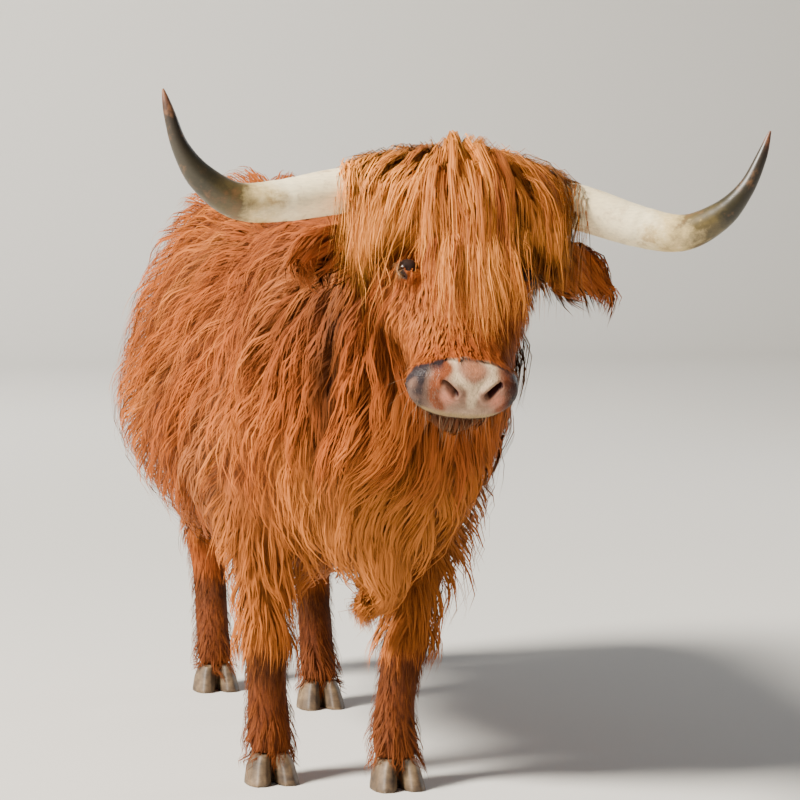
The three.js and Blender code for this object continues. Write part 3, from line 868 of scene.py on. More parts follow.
# %% Lay out the muzzle's colours
def muzzle_tone(h):
    """The colour of the bare skin at each place in the head's frame."""
    centre = h - [MUZZLE_MIDDLE, 0, 0]
    side, z = np.abs(centre[:, 0]), h[:, 2]
    mottle = ripple(h, 0.035, 32)
    halves = [centre * [sign, 1, 1] for sign in SIDES.values()]
    patches = [
        (FROST, 0.9 * hill(np.abs(side - 0.083), 0.014)),
        (TAN, 1.2 * hill(np.hypot(side * 0.8, z + 0.014), 0.036)),
        (BLUSH, 0.9 * hill(np.hypot(side - 0.050, z + 0.072), 0.028)),
        (CREAM, 0.5 * hill(np.hypot(side * 0.5, z + 0.100), 0.03)),
    ]
    for half in halves:
        patches.append((CREAM, 1.1 * hill(from_path(half, BRIDGE_PATH, [0, 2])[0], 0.011)))
        patches.append((UMBER, (1.5 + 0.3 * mottle) * hill(from_path(half, RING_PATH, [0, 2])[0], 0.017)))
    rim = ease((side - 0.082) / 0.012) + ease((-0.116 - z) / 0.012)
    rim += 0.8 * ease((h[:, 1] + 0.456) / 0.016) * ease((side - 0.050) / 0.014)
    rim += 0.9 * hill(np.abs(h[:, 1] - pad_top(h) + 0.010), 0.010)
    # The cow's left side of the pad is painted slate. Part of it is its own pigment, and part is painted
    # shade, as it is darker and wider than on the right.
    shaded_slate_side = ease((h[:, 0] - 0.048) / 0.034) * ease((-0.040 - z) / 0.02)
    patches += [
        (SLATE, (0.28 + 0.2 * mottle) * hill(np.hypot(side * 0.6, z + 0.094), 0.03)),
        (OLIVE, 0.85 * ease((-0.100 - z) / 0.014)),
        (SLATE, rim * (0.9 + 0.2 * mottle)),
        (SLATE, (0.80 + 0.2 * mottle) * shaded_slate_side),
    ]
    for half in halves:
        # The nostril pits are painted near-black: a dark red lining with painted shade in the hollows.
        gap, along = from_path(half, NOSTRIL_PATH, [0, 2])
        inside = hill(gap, 0.0046 + 0.0034 * along) * (h[:, 1] < -0.43) * (half[:, 0] > 0)
        patches.append((LINING_AND_SHADE, 1.8 * inside))
    tone = np.tile(PINK, (len(h), 1))
    for colour, share in patches:
        tone = mixed(tone, colour, share)
    return tone


print("the bridge of the nose is", muzzle_tone(np.array([[0.0, -0.47, -0.06]])).round(2)[0])


def lid_share(h):
    """How near each point is to the rim of a lid."""
    share = np.zeros(len(h))
    for side in SIDES.values():
        a, b, c = seen_from(eye_frame(side), h).T
        slit = np.hypot(a / (SLIT_HALF_LENGTH + 0.004), b / (SLIT_RISE + 0.004))
        share = np.maximum(share, ease((1.15 - slit) / 0.3) * (c > -0.02))
    return share


# %% Paint the skin
def set_colours(mesh, name, colours):
    layer = mesh.color_attributes.new(name, "FLOAT_COLOR", "POINT")
    rgba = np.concatenate([np.clip(colours, 0, 1), np.ones((len(colours), 1))], axis=1)
    layer.data.foreach_set("color", rgba.astype(np.float32).ravel())


def set_number(mesh, name, values):
    layer = mesh.attributes.new(name, "FLOAT", "POINT")
    layer.data.foreach_set("value", np.asarray(values, np.float32))


head_points = seen_from(HEAD, skin_points)
bare = bareness(head_points) * on_head(skin_points)
lids = lid_share(head_points) * on_head(skin_points)
short = share_of("cannon", "head", "pastern", "lower_jaw")
# Painted shade: the skin under the coat takes the coat's colour but darker, so the gaps between locks look
# deep.
under_coat = coat_tone(skin_points, np.zeros(len(skin_points))) * (0.78 + 0.12 * short)[:, None]
poll = ease((0.19 - np.abs(head_points[:, 0] + 0.016)) / 0.02) * ease((head_points[:, 1] + 0.12) / 0.03)
under_coat = mixed(under_coat, GOLD, 0.75 * poll * (head_points[:, 2] > -0.08) * (head_points[:, 1] < 0.11))
skin_tone = mixed(under_coat, muzzle_tone(head_points), bare)
skin_tone = mixed(skin_tone, LID, lids)
lower = np.any([
    (seen_from(eye_frame(side), head_points)[:, 1] < -0.004) & (head_points[:, 0] * side > 0)
    for side in SIDES.values()
], axis=0)
skin_tone = mixed(skin_tone, LID_RIM, 0.8 * lids * lower)
set_colours(skin_mesh, "tone", skin_tone)
set_number(skin_mesh, "bare", np.maximum(bare, lids))
print(round(100 * float((bare > 0.5).mean()), 1), "% of the skin's points are bare muzzle")


# %% Unwrap the skin
def unwrap(mesh):
    """A map of the skin's own shape, with each lock's colour later kept at its root's place on it."""
    ob = placed("unwrap", mesh)
    bpy.context.view_layer.objects.active = ob
    ob.select_set(True)
    mesh.uv_layers.new(name="OFBake")
    bpy.ops.object.mode_set(mode="EDIT")
    bpy.ops.mesh.select_all(action="SELECT")
    bpy.ops.uv.smart_project(angle_limit=1.15, island_margin=0.002, scale_to_bounds=True)
    bpy.ops.object.mode_set(mode="OBJECT")
    bpy.data.objects.remove(ob)


shade_smooth(skin_mesh)
unwrap(skin_mesh)
print("skin unwrapped")


# %% Helpers for node trees
def put(tree, kind, settings=None, **inputs):
    """Adds a node. Each input is a number or the socket that feeds it, named by its label or its index."""
    node = tree.nodes.new(kind)
    for key, value in (settings or {}).items():
        setattr(node, key, value)
    for key, value in inputs.items():
        if key[1:].isdigit():
            socket = node.inputs[int(key[1:])]
        else:
            socket = next(i for i in node.inputs if i.enabled and i.name == key.replace("_", " "))
        if isinstance(value, bpy.types.NodeSocket):
            tree.links.new(value, socket)
        else:
            socket.default_value = value
    return node


def mapped(tree, scale):
    """The object's own coordinates, drawn out or pressed together along each axis."""
    place = put(tree, "ShaderNodeTexCoord").outputs["Object"]
    return put(tree, "ShaderNodeMapping", Scale=scale, Vector=place).outputs["Vector"]


def own_map(tree, name):
    """One of the mesh's own maps."""
    return put(tree, "ShaderNodeUVMap", {"uv_map": name}).outputs[0]


def noise(tree, vector, scale, detail=3, roughness=0.6):
    node = put(tree, "ShaderNodeTexNoise", Scale=scale, Detail=detail, Roughness=roughness, Vector=vector)
    return node.outputs["Fac"]


def spread(tree, value, low, high, to_low=0.0, to_high=1.0):
    node = put(tree, "ShaderNodeMapRange", i0=value, i1=low, i2=high, i3=to_low, i4=to_high)
    return node.outputs["Result"]


def attribute(tree, name, output="Color"):
    return put(tree, "ShaderNodeAttribute", {"attribute_name": name}).outputs[output]


def blend(tree, kind, factor, one, other):
    settings = {"data_type": "RGBA", "blend_type": kind}
    return put(tree, "ShaderNodeMix", settings, i0=factor, i6=one, i7=other).outputs[2]


def maths(tree, operation, one, other):
    return put(tree, "ShaderNodeMath", {"operation": operation}, i0=one, i1=other).outputs[0]


def bump(tree, height, strength, distance, shader):
    node = put(tree, "ShaderNodeBump", Strength=strength, Distance=distance, Height=height)
    tree.links.new(node.outputs["Normal"], shader.inputs["Normal"])


def ramp(tree, value, stops):
    node = put(tree, "ShaderNodeValToRGB", Fac=value)
    elements = node.color_ramp.elements
    while len(elements) < len(stops):
        elements.new(0.5)
    for element, (place, colour) in zip(elements, stops):
        element.position = place
        element.color = (*colour, 1)
    return node.outputs["Color"]


# %% The finish of the skin
EVENLY = (1, 1, 1)


def skin_finish():
    """Fine hair in long streaks where the coat grows, and moist pebbled leather where it is bare."""
    material, tree, shader = new_material("skin")
    streaks = noise(tree, mapped(tree, (1, 1, 0.16)), 260, 4, 0.7)
    pebbles = put(tree, "ShaderNodeTexVoronoi", Scale=330, Vector=mapped(tree, EVENLY))
    mottle = noise(tree, mapped(tree, EVENLY), 90, 4)
    bare_share = attribute(tree, "bare", "Fac")
    tone = attribute(tree, "tone")
    hairy = blend(tree, "MULTIPLY", 1.0, tone, spread(tree, streaks, 0.3, 0.7, 0.45, 1.5))
    leather = blend(tree, "MULTIPLY", 1.0, tone, spread(tree, mottle, 0.3, 0.7, 0.78, 1.15))
    colour = blend(tree, "MIX", bare_share, hairy, leather)
    tree.links.new(colour, shader.inputs["Base Color"])
    tree.links.new(spread(tree, bare_share, 0, 1, 0.8, 0.46), shader.inputs["Roughness"])
    shader.inputs["Specular IOR Level"].default_value = 0.18
    height = blend(tree, "MIX", bare_share, streaks, pebbles.outputs["Distance"])
    bump(tree, height, 0.55, 0.0016, shader)
    return material


skin = bpy.data.objects.new("skin", skin_mesh)
skin_mesh.name = "skin"
skin_mesh.materials.clear()
skin_mesh.materials.append(skin_finish())
scene.collection.objects.link(skin)
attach(skin, "root")
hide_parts(*[n for n in nodes if region_of(n) in REGIONS])
print("the skin stands for", len(COATED), "nodes")

# %% [markdown]
# ## Horns
# A horn is a bony core under a sheath of keratin that grows in rings from the root. Its shape follows one
# rule: a tube along a bent line, thick at the root and pointed at the tip. Geometry Nodes make it from
# that line: the line becomes a curve, the curve a tube of changing girth, and the tube's points move a
# little in and out in rings that fade towards the tip. The place along the horn is kept for its colours.


# %% Helpers for node trees that make shapes
def geometry_tree(name, inputs):
    """A new geometry tree with named inputs: {name: (kind, value)}."""
    tree = bpy.data.node_groups.new(name, "GeometryNodeTree")
    tree.interface.new_socket("Geometry", in_out="INPUT", socket_type="NodeSocketGeometry")
    tree.interface.new_socket("Geometry", in_out="OUTPUT", socket_type="NodeSocketGeometry")
    for label, (kind, value) in inputs.items():
        socket = tree.interface.new_socket(label, in_out="INPUT", socket_type=f"NodeSocket{kind}")
        if value is not None:
            socket.default_value = value
    return tree, tree.nodes.new("NodeGroupInput"), tree.nodes.new("NodeGroupOutput")


def out_of(node, name):
    """The output of that name which the node's settings leave switched on."""
    return next(o for o in node.outputs if o.enabled and o.name == name)


def grown(ob, tree, values):
    """Runs a geometry tree on an object and gives the result as a plain mesh."""
    modifier = ob.modifiers.new("grow", "NODES")
    modifier.node_group = tree
    sockets = {i.name: i.identifier for i in tree.interface.items_tree if i.in_out == "INPUT"}
    for label, value in values.items():
        modifier[sockets[label]] = value
    mesh = evaluated(ob)
    ob.modifiers.remove(modifier)
    return mesh


# %% The rule for a horn
HORN_INPUTS = {
    "Sides": ("Int", 40),
    "Ring Depth": ("Float", 0.0022),
    "Rings": ("Float", 34.0),
    "Sheath": ("Material", None),
}


def horn_tree():
    tree, given, made = geometry_tree("horn sheath", HORN_INPUTS)
    line = put(tree, "GeometryNodeMeshToCurve", Mesh=given.outputs["Geometry"])
    girth = put(tree, "GeometryNodeInputNamedAttribute", {"data_type": "FLOAT"}, Name="girth")
    place = put(tree, "GeometryNodeSplineParameter")
    kept = put(
        tree, "GeometryNodeStoreNamedAttribute", {"data_type": "FLOAT", "domain": "POINT"},
        Geometry=line.outputs[0], Name="along", Value=place.outputs["Factor"],
    )
    ring = put(tree, "GeometryNodeCurvePrimitiveCircle", Resolution=given.outputs["Sides"], Radius=1.0)
    tube = put(
        tree, "GeometryNodeCurveToMesh", Curve=kept.outputs[0], Profile_Curve=ring.outputs[0],
        Scale=out_of(girth, "Attribute"), Fill_Caps=True,
    )
    along = put(tree, "GeometryNodeInputNamedAttribute", {"data_type": "FLOAT"}, Name="along")
    turns = maths(tree, "MULTIPLY", out_of(along, "Attribute"), given.outputs["Rings"])
    growth = put(tree, "ShaderNodeTexNoise", {"noise_dimensions": "1D"}, W=turns, Scale=1.0, Detail=2.0)
    fade = put(tree, "ShaderNodeMapRange", i0=out_of(along, "Attribute"), i1=0.1, i2=0.75, i3=1.0, i4=0.1)
    swing = maths(tree, "SUBTRACT", growth.outputs["Fac"], 0.5)
    swing = maths(tree, "MULTIPLY", swing, fade.outputs[0])
    swing = maths(tree, "MULTIPLY", swing, given.outputs["Ring Depth"])
    normal = put(tree, "GeometryNodeInputNormal")
    move = put(
        tree, "ShaderNodeVectorMath", {"operation": "SCALE"}, Vector=normal.outputs[0], Scale=swing
    )
    ringed = put(tree, "GeometryNodeSetPosition", Geometry=tube.outputs[0], Offset=move.outputs[0])
    smooth = put(tree, "GeometryNodeSetShadeSmooth", Geometry=ringed.outputs[0])
    real = put(tree, "GeometryNodeRealizeInstances", Geometry=smooth.outputs[0])
    painted = put(
        tree, "GeometryNodeSetMaterial", Geometry=real.outputs[0], Material=given.outputs["Sheath"]
    )
    tree.links.new(painted.outputs[0], made.inputs[0])
    return tree


def catmull_rom(stations, count):
    """A smooth line through rows of numbers, with the same number of steps between each two rows."""
    rows = np.array(stations, float)
    rows = np.concatenate([[2 * rows[0] - rows[1]], rows, [2 * rows[-1] - rows[-2]]])
    places = np.linspace(0, len(rows) - 3 - 1e-9, count)
    i = places.astype(int)
    t = (places - i)[:, None]
    a, b, c, d = rows[i], rows[i + 1], rows[i + 2], rows[i + 3]
    bend, twist = 2 * a - 5 * b + 4 * c - d, 3 * b - a - 3 * c + d
    return 0.5 * (2 * b + (c - a) * t + bend * t**2 + twist * t**3)


HORN_TIPS = {"right": (0.592, 0.112), "left": (0.557, 0.120)}
HORN_RADIUS = 0.0435
MIDDLE_RISE = 0.108
HORN_STEPS = 150
HORN_RUN = [
    # part of the reach, back, up, share of the radius; the last one's height is the tip's own
    (0.160, 0.012, -0.032, 0.96), (0.395, 0.000, -0.054, 1.00),
    (0.597, -0.030, -0.083, 0.91), (0.740, -0.058, -0.090, 0.80), (0.856, -0.078, -0.054, 0.62),
    (0.930, -0.088, -0.002, 0.39), (0.972, -0.092, 0.056, 0.26), (1.000, -0.090, None, 0.14),
]


def horn_line(name):
    """The line through the middle of a horn, with its girth at each place. It ends in a rounded point."""
    reach, rise = HORN_TIPS[name]
    rows = []
    for part, y, z, share in HORN_RUN:
        up = (rise - 0.008 if z is None else z) + (rise - MIDDLE_RISE) * part
        rows.append((SIDES[name] * part * reach, y, up, share * HORN_RADIUS))
    line = catmull_rom(rows, HORN_STEPS)
    line[:, 3] *= np.sqrt(np.clip(1 - np.linspace(-6, 0.96, HORN_STEPS).clip(0) ** 2, 0, 1))
    mesh = bpy.data.meshes.new(f"horn_{name}_line")
    mesh.from_pydata(put_from(CROWN, line[:, :3]).tolist(), [(i, i + 1) for i in range(len(line) - 1)], [])
    set_number(mesh, "girth", line[:, 3])
    return mesh


print("a horn's line has", HORN_STEPS, "points through", len(HORN_RUN), "stations")


# %% The finish of the horns
def horn_finish():
    """Ivory for the first half, with brown staining and fine cracks, then olive-brown to a worn red tip."""
    material, tree, shader = new_material("horn")
    along = attribute(tree, "along", "Fac")
    cloud = noise(tree, mapped(tree, EVENLY), 22, 5, 0.65)
    fine = noise(tree, mapped(tree, (0.25, 1, 1)), 260, 3, 0.6)
    place = maths(tree, "ADD", along, spread(tree, cloud, 0.3, 0.7, -0.06, 0.06))
    body = ramp(tree, place, [
        (0.00, linear(200, 156, 98)), (0.16, linear(250, 230, 184)), (0.42, linear(252, 236, 194)),
        (0.52, linear(216, 190, 134)), (0.60, linear(96, 82, 48)), (0.70, linear(48, 43, 27)),
        (0.93, linear(42, 34, 26)), (1.00, linear(112, 72, 52)),
    ])
    stain = spread(tree, cloud, 0.54, 0.70, 0.0, 0.55)
    body = blend(tree, "MIX", stain, body, (*linear(150, 104, 62), 1))
    body = blend(tree, "MULTIPLY", 1.0, body, spread(tree, fine, 0.3, 0.7, 0.86, 1.1))
    tree.links.new(body, shader.inputs["Base Color"])
    tree.links.new(spread(tree, cloud, 0.3, 0.7, 0.34, 0.5), shader.inputs["Roughness"])
    bump(tree, fine, 0.35, 0.0006, shader)
    return material


horn_paint = horn_finish()
sheath = horn_tree()
horns = {}
for name in SIDES:
    guide = placed("horn line", horn_line(name))
    values = {label: value for label, (_, value) in HORN_INPUTS.items()}
    mesh = grown(guide, sheath, {**values, "Sheath": horn_paint})
    bpy.data.objects.remove(guide)
    horns[name] = placed(f"horn_{name}_sheath", mesh)
    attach(horns[name], "root")
    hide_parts(f"horn_{name}")
    print(name, "horn:", len(mesh.polygons), "faces")

# %% [markdown]
# ## Hooves
# Each foot has two claws and, behind the fetlock, two dewclaws. The frame's claws are right in shape but
# faceted and stand straight, so the walls of each pair lean together, the dewclaws sink into the fetlock,
# a fine voxel remesh rounds them all, and the soles are set flat on the floor again.


# %% Make the claws
def keratin_finish():
    material, tree, shader = new_material("hoof keratin")
    rings = noise(tree, mapped(tree, (0.15, 0.15, 1)), 160, 3, 0.6)
    grime = noise(tree, mapped(tree, EVENLY), 30, 4)
    body = ramp(tree, grime, [
        (0.3, linear(52, 40, 30)), (0.5, linear(92, 74, 54)), (0.72, linear(132, 110, 82)),
    ])
    body = blend(tree, "MULTIPLY", 1.0, body, spread(tree, rings, 0.3, 0.7, 0.75, 1.15))
    tree.links.new(body, shader.inputs["Base Color"])
    shader.inputs["Roughness"].default_value = 0.58
    bump(tree, rings, 0.5, 0.0012, shader)
    return material


HOOF_VOXEL = 0.0032
SOLE = 0.004
CLAW_LEAN, LEAN_SIDEWAYS, LEAN_FORWARDS = 0.30, 1.0, 0.35
DEWCLAW_SIZE, DEWCLAW_SINK = 0.85, 1.05
skin_tree = BVHTree.FromPolygons(skin_points.tolist(), [list(f.vertices) for f in skin_mesh.polygons])


def seated(name):
    """A dewclaw moved into the skin of the fetlock, or a claw whose walls lean in towards its partner."""
    points, faces = welded(name)
    middle = points.mean(0)
    if name.startswith("dewclaw_"):
        sunk = np.array(skin_tree.find_nearest(Vector(middle))[0]) - middle
        return middle + DEWCLAW_SIZE * (points - middle) + DEWCLAW_SINK * sunk, faces
    foot = name.rsplit("_", 1)[0] + "_"
    pair = np.array([welded(n)[0].mean(0) for n in nodes if n.startswith(foot)])
    height = points[:, 2] / points[:, 2].max()
    lean = CLAW_LEAN * height**1.5
    points[:, :2] += (pair.mean(0)[:2] - points[:, :2]) * lean[:, None] * [LEAN_SIDEWAYS, LEAN_FORWARDS]
    return points, faces


keratin = [n for n in nodes if n.startswith(("hoof_", "dewclaw_"))]
hoof_mesh = remeshed(gathered([seated(n) for n in keratin]), HOOF_VOXEL)
set_positions(hoof_mesh, blurred(positions(hoof_mesh), edge_pairs(hoof_mesh), 6))
hoof_points = positions(hoof_mesh)
hoof_points[:, 2] = np.where(hoof_points[:, 2] < SOLE, 0, hoof_points[:, 2])
set_positions(hoof_mesh, hoof_points)
shade_smooth(hoof_mesh)
hoof_mesh.materials.append(keratin_finish())
hooves = placed("hooves", hoof_mesh)
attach(hooves, "root")
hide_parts(*keratin)
print("hooves:", len(hoof_mesh.polygons), "faces")

# %% [markdown]
# ## Eyes
# A cow's eye is a wet dark ball with a flat-lying oval pupil. The cornea stands a little proud of the
# ball, so the light draws a highlight on it. The pupil and iris follow a map of the eye's own front.


# %% Make the eyes
EYE_RINGS, EYE_SEGMENTS = 32, 48
CORNEA_RADIUS, CORNEA_RISE = 0.0135, 0.0022
PUPIL_SHAPE = (2.1, 4.4, 1)


def ball_faces(rings, segments):
    """The faces of a ball whose points go ring by ring from one pole to the other."""
    faces = []
    for j in range(segments):
        k = (j + 1) % segments
        faces.append((0, 1 + j, 1 + k))
        for r in range(rings - 2):
            above, below = 1 + r * segments, 1 + (r + 1) * segments
            faces.append((above + j, below + j, below + k, above + k))
        last = 1 + (rings - 2) * segments
        faces.append((last + j, last + segments, last + k))
    return faces


def eye_mesh(name):
    """A ball in rings round the line of sight, with the cornea's low dome in front."""
    tilt = np.repeat(np.linspace(0, math.pi, EYE_RINGS + 1)[1:-1], EYE_SEGMENTS)
    turn = np.tile(np.linspace(0, 2 * math.pi, EYE_SEGMENTS, endpoint=False), EYE_RINGS - 1)
    middle = np.stack([np.sin(tilt) * np.cos(turn), np.sin(tilt) * np.sin(turn), np.cos(tilt)], axis=1)
    points = np.concatenate([[(0, 0, 1)], middle, [(0, 0, -1)]])
    gaze = points[:, :2].astype(np.float32)
    points = points * EYE_RADIUS
    off_axis = np.hypot(points[:, 0], points[:, 1])
    dome_rise = CORNEA_RISE * np.clip(1 - (off_axis / CORNEA_RADIUS) ** 2, 0, 1)
    points[:, 2] += dome_rise * (points[:, 2] > 0)
    place = HEAD @ eye_frame(SIDES[name])
    faces = ball_faces(EYE_RINGS, EYE_SEGMENTS)
    if place.determinant() < 0:
        faces = [f[::-1] for f in faces]
    mesh = bpy.data.meshes.new(f"eye_{name}")
    mesh.from_pydata(put_from(place, points).tolist(), [], faces)
    corners = read(mesh.loops, "vertex_index", 1, np.int32)[:, 0]
    mesh.uv_layers.new(name="Gaze").uv.foreach_set("vector", gaze[corners].ravel())
    shade_smooth(mesh)
    return mesh


def eye_finish():
    material, tree, shader = new_material("eye")
    place = own_map(tree, "Gaze")
    oval = put(tree, "ShaderNodeMapping", Scale=PUPIL_SHAPE, Vector=place).outputs[0]
    from_middle, from_pupil = (
        put(tree, "ShaderNodeVectorMath", {"operation": "LENGTH"}, i0=vector).outputs["Value"]
        for vector in (place, oval)
    )
    iris = ramp(tree, from_middle, [
        (0.0, linear(50, 28, 18)), (0.50, linear(62, 34, 20)), (0.66, linear(26, 15, 12)),
        (0.90, linear(48, 36, 32)),
    ])
    pupil = spread(tree, from_pupil, 0.85, 1.0)
    colour = blend(tree, "MIX", pupil, (*linear(8, 7, 10), 1), iris)
    tree.links.new(colour, shader.inputs["Base Color"])
    shader.inputs["Roughness"].default_value = 0.3
    shader.inputs["Specular IOR Level"].default_value = 0.1
    shader.inputs["Coat Weight"].default_value = 0.3
    shader.inputs["Coat Roughness"].default_value = 0.02
    return material


eye_paint = eye_finish()
for name in SIDES:
    mesh = eye_mesh(name)
    mesh.materials.append(eye_paint)
    eye = placed(f"eyeball_{name}", mesh)
    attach(eye, "root")
    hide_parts(f"eye_{name}")
    print(name, "eye:", len(mesh.polygons), "faces")

# %% [markdown]
# ## How a coat is built
# A real coat has millions of hairs, and a hair system would draw them only in Blender. Geometry Nodes could
# scatter copies of one lock, but here each lock has to bend its own way round brow, horns and legs. So the
# points of every lock are worked out in one array, and what is made is a plain mesh.
#
# Each lock is a thin three-sided blade that tapers to a point. Locks gather in tufts: every tuft has one
# guide, a line that is walked over the skin step by step, leaving it at a slant, following the lie and
# sinking under its own weight, and never passing into the body. Each lock near it copies the guide's
# line from its own root and closes in on it towards the tip. So a tuft ends in a point, as wet or
# wind-combed wool does, and the blades overlap like thatch.


# %% Where locks can grow
class Ground:
    """The skin and the hard parts, to ask for the nearest surface, its normal and the lie of its coat."""

    def __init__(self):
        shell = bmesh.new()
        shell.from_mesh(skin_mesh)
        for hard in (*horns.values(), hooves):
            shell.from_mesh(hard.data)
        shell.normal_update()
        self.tree = BVHTree.FromBMesh(shell)
        padded = np.concatenate([lie, np.zeros((len(shell.verts) - len(lie), 3))])
        self.lie = np.array([padded[[v.index for v in f.verts]].mean(0) for f in shell.faces])
        shell.free()

    def nearest(self, points):
        found = [self.tree.find_nearest(Vector(p)) for p in points]
        places = np.array([f[0] for f in found])
        normals = np.array([f[1] for f in found])
        heights = np.sum((points - places) * normals, axis=1)
        return places, normals, self.lie[[f[2] for f in found]], heights


ground = Ground()

skin_mesh.calc_loop_triangles()
triangles = read(skin_mesh.loop_triangles, "vertices", 3, np.int32)
corner_uv = read(skin_mesh.uv_layers["OFBake"].uv, "vector", 2)
triangle_uv = corner_uv[read(skin_mesh.loop_triangles, "loops", 3, np.int32)]
first, second, third = (skin_points[triangles[:, i]] for i in range(3))
triangle_area = np.linalg.norm(np.cross(second - first, third - first), axis=1) / 2
print(round(float(triangle_area.sum()), 2), "square metres of skin")


def spaced(places, gap):
    """Picks places that are at least a gap apart, in their order."""
    cells, kept = {}, []
    steps = [(dx, dy, dz) for dx in (-1, 0, 1) for dy in (-1, 0, 1) for dz in (-1, 0, 1)]
    for i, place in enumerate(places):
        cell = tuple((place / gap).astype(int))
        x, y, z = cell
        near = [j for dx, dy, dz in steps for j in cells.get((x + dx, y + dy, z + dz), ())]
        if all(np.linalg.norm(places[j] - place) > gap for j in near):
            kept.append(i)
            cells.setdefault(cell, []).append(i)
    return np.array(kept)


class Roots:
    """Places on the skin, chosen at random with a weight at each point of the skin."""

    def __init__(self, weight, count, seed):
        rng = np.random.default_rng(seed)
        chance = triangle_area * weight[triangles].mean(1)
        chosen = rng.choice(len(triangles), size=count, p=chance / chance.sum())
        one, two = np.sqrt(rng.random(count)), rng.random(count)
        mix = np.stack([1 - one, one * (1 - two), one * two], axis=1)

        def at(values):
            return np.einsum("nc,nc...->n...", mix, values[triangles[chosen]])

        self.place = at(skin_points)
        self.normal = unit(at(skin_normals))
        self.lie = flatten(at(lie), self.normal)
        self.uv = np.einsum("nc,nck->nk", mix, triangle_uv[chosen])
        self.shares = at(skin_shares)

    def column(self, name):
        """A column of the table of regions, blended over the borders."""
        return self.shares @ TABLE[name] / self.shares.sum(1)

    def thin_out(self, gap):
        """Keeps only places that are at least a gap apart, and tells how many are left."""
        chosen = spaced(self.place, gap)
        for key, values in vars(self).items():
            setattr(self, key, values[chosen])
        return len(chosen)


# %% Walk a guide over the skin
DOWN = np.array([0, 0, -1.0])
LOWEST_SHARE = 0.45  # how much of its rise a line keeps at the least
TURN = 0.6  # how far it turns towards its aim at each step
STEEPEST = 0.7  # how steeply it may climb or dive
COVER_GAP = 0.004  # how far it stays under a cover


def walk(roots, length, rise, steps, droop, leave, flow=None, cover=None):
    """One line for each root, as rows of points. Rise is how high it settles over the skin.

    The lie may come from a flow instead of the skin, and a cover may hold the line just below itself.
    """
    path = [roots.place]
    step = (length / steps)[:, None]
    way = unit(roots.lie + leave * roots.normal)
    for k in range(1, steps + 1):
        here = path[-1] + way * step
        _, normal, lie_here, height = ground.nearest(here)
        part = k / steps
        lowest = rise * LOWEST_SHARE * min(1, 2.5 * part)
        lift = np.maximum(lowest - height, 0)
        here = here + normal * lift[:, None]
        height = height + lift
        if flow is not None:
            lie_here = flow(here, part)
        pull = np.clip((rise - height) / step[:, 0], -STEEPEST, STEEPEST)[:, None]
        if cover is not None:
            beyond, normal = cover(here)
            held = np.clip((-COVER_GAP - beyond - 0.5 * rise) / step[:, 0], -0.8, 0.8)
            pull = (held * (1 - ease((part - 0.4) / 0.3)))[:, None]
        sink = droop * (0.35 + 0.65 * part)
        want = unit(lie_here * (1 - sink) + DOWN * sink + normal * pull)
        way = unit((1 - TURN) * way + TURN * want)
        path.append(here)
    return np.stack(path, axis=1)


# %% Gather locks into tufts
HUMP = 0.35  # how far a tuft's middle stands up, in parts of its radius
STRAY_SHARE, STRAY_SPREAD = 0.07, -0.4  # how many locks leave their tuft, and how far they part from it
LOCK_SIZE = (0.70, 1.08)  # the least and greatest length of a lock, in parts of its guide's
WAVE_PERIOD, PERIOD_CHANGE = 0.120, 0.025  # the length of hair in a wave, and how much it changes
CURL = 1.2
FRIZZ = 0.045  # how far a tip strays, in parts of the lock's length


def gather(roots, guides, guide_roots, wave, close, seed, hump=HUMP):
    """A line for each lock: the nearest guide's, from the lock's own root, closing in towards the tip.

    Gives the lines, which guide each lock follows, which locks stray, and how near its guide each one is.
    """
    rng = np.random.default_rng(seed)
    tree = KDTree(len(guides))
    for i, p in enumerate(guide_roots):
        tree.insert(Vector(p), i)
    tree.balance()
    own = np.array([tree.find(Vector(p))[1] for p in roots.place])
    steps = guides.shape[1] - 1
    part = np.linspace(0, 1, steps + 1)[None, :, None]
    shape = guides[own] - guides[own][:, :1]
    offset = (roots.place - guides[own][:, 0])[:, None]
    stray = rng.random(len(own)) < STRAY_SHARE
    closing = np.where(stray, STRAY_SPREAD, close * rng.uniform(0.5, 1.3, len(own)))[:, None, None]
    size = rng.uniform(*LOCK_SIZE, len(own))[:, None, None]
    lines = guides[own][:, :1] + shape * size + offset * (1 - closing * part**1.3)
    gap = np.linalg.norm(offset[:, 0], axis=1)
    tuft_radius = np.quantile(gap, 0.9)
    centre = 1 - np.clip(gap / tuft_radius, 0, 1) ** 2
    lines += roots.normal[:, None] * (hump * tuft_radius * centre)[:, None, None] * ease(1.6 * part)
    across = unit(np.cross(np.gradient(lines, axis=1), roots.normal[:, None]))
    reach = np.linalg.norm(np.diff(lines, axis=1), axis=2).cumsum(1)
    reach = np.concatenate([np.zeros((len(own), 1)), reach], axis=1)
    period = (WAVE_PERIOD + PERIOD_CHANGE * ripple(guide_roots, 0.4, 41))[own][:, None]
    phase = 3.2 * ripple(guide_roots, 0.24, 42) + rng.normal(0, 0.6, len(guides))
    phase = (phase[own] + rng.normal(0, 0.3, len(own)))[:, None]
    depth = wave * rng.uniform(0.5, 1.3, len(guides))[own]
    swing = depth[:, None] * (np.sin(2 * math.pi * reach / period + phase) - np.sin(phase))
    swing *= ease(part[..., 0] * 2)
    curl = (depth * rng.normal(0, CURL, len(guides))[own])[:, None] * part[..., 0] ** 2
    up = roots.normal[:, None] * (0.35 * swing)[..., None]
    frizz = rng.normal(0, 1, (len(own), 1, 3)) * (FRIZZ * reach * part[..., 0])[..., None]
    return lines + across * (swing + curl)[..., None] + up + frizz, own, stray, centre


# %% Turn lines into blades
PATCH = 0.003  # the width of a blade's patch on the OFBake map
RIDGE = 0.22  # how high the ridge is, in parts of half the blade's width
ROLL = 0.22  # how far blades are turned about their own length, in radians
EDGE_LEAN = 0.4  # how far the shading leans outwards at a blade's edges


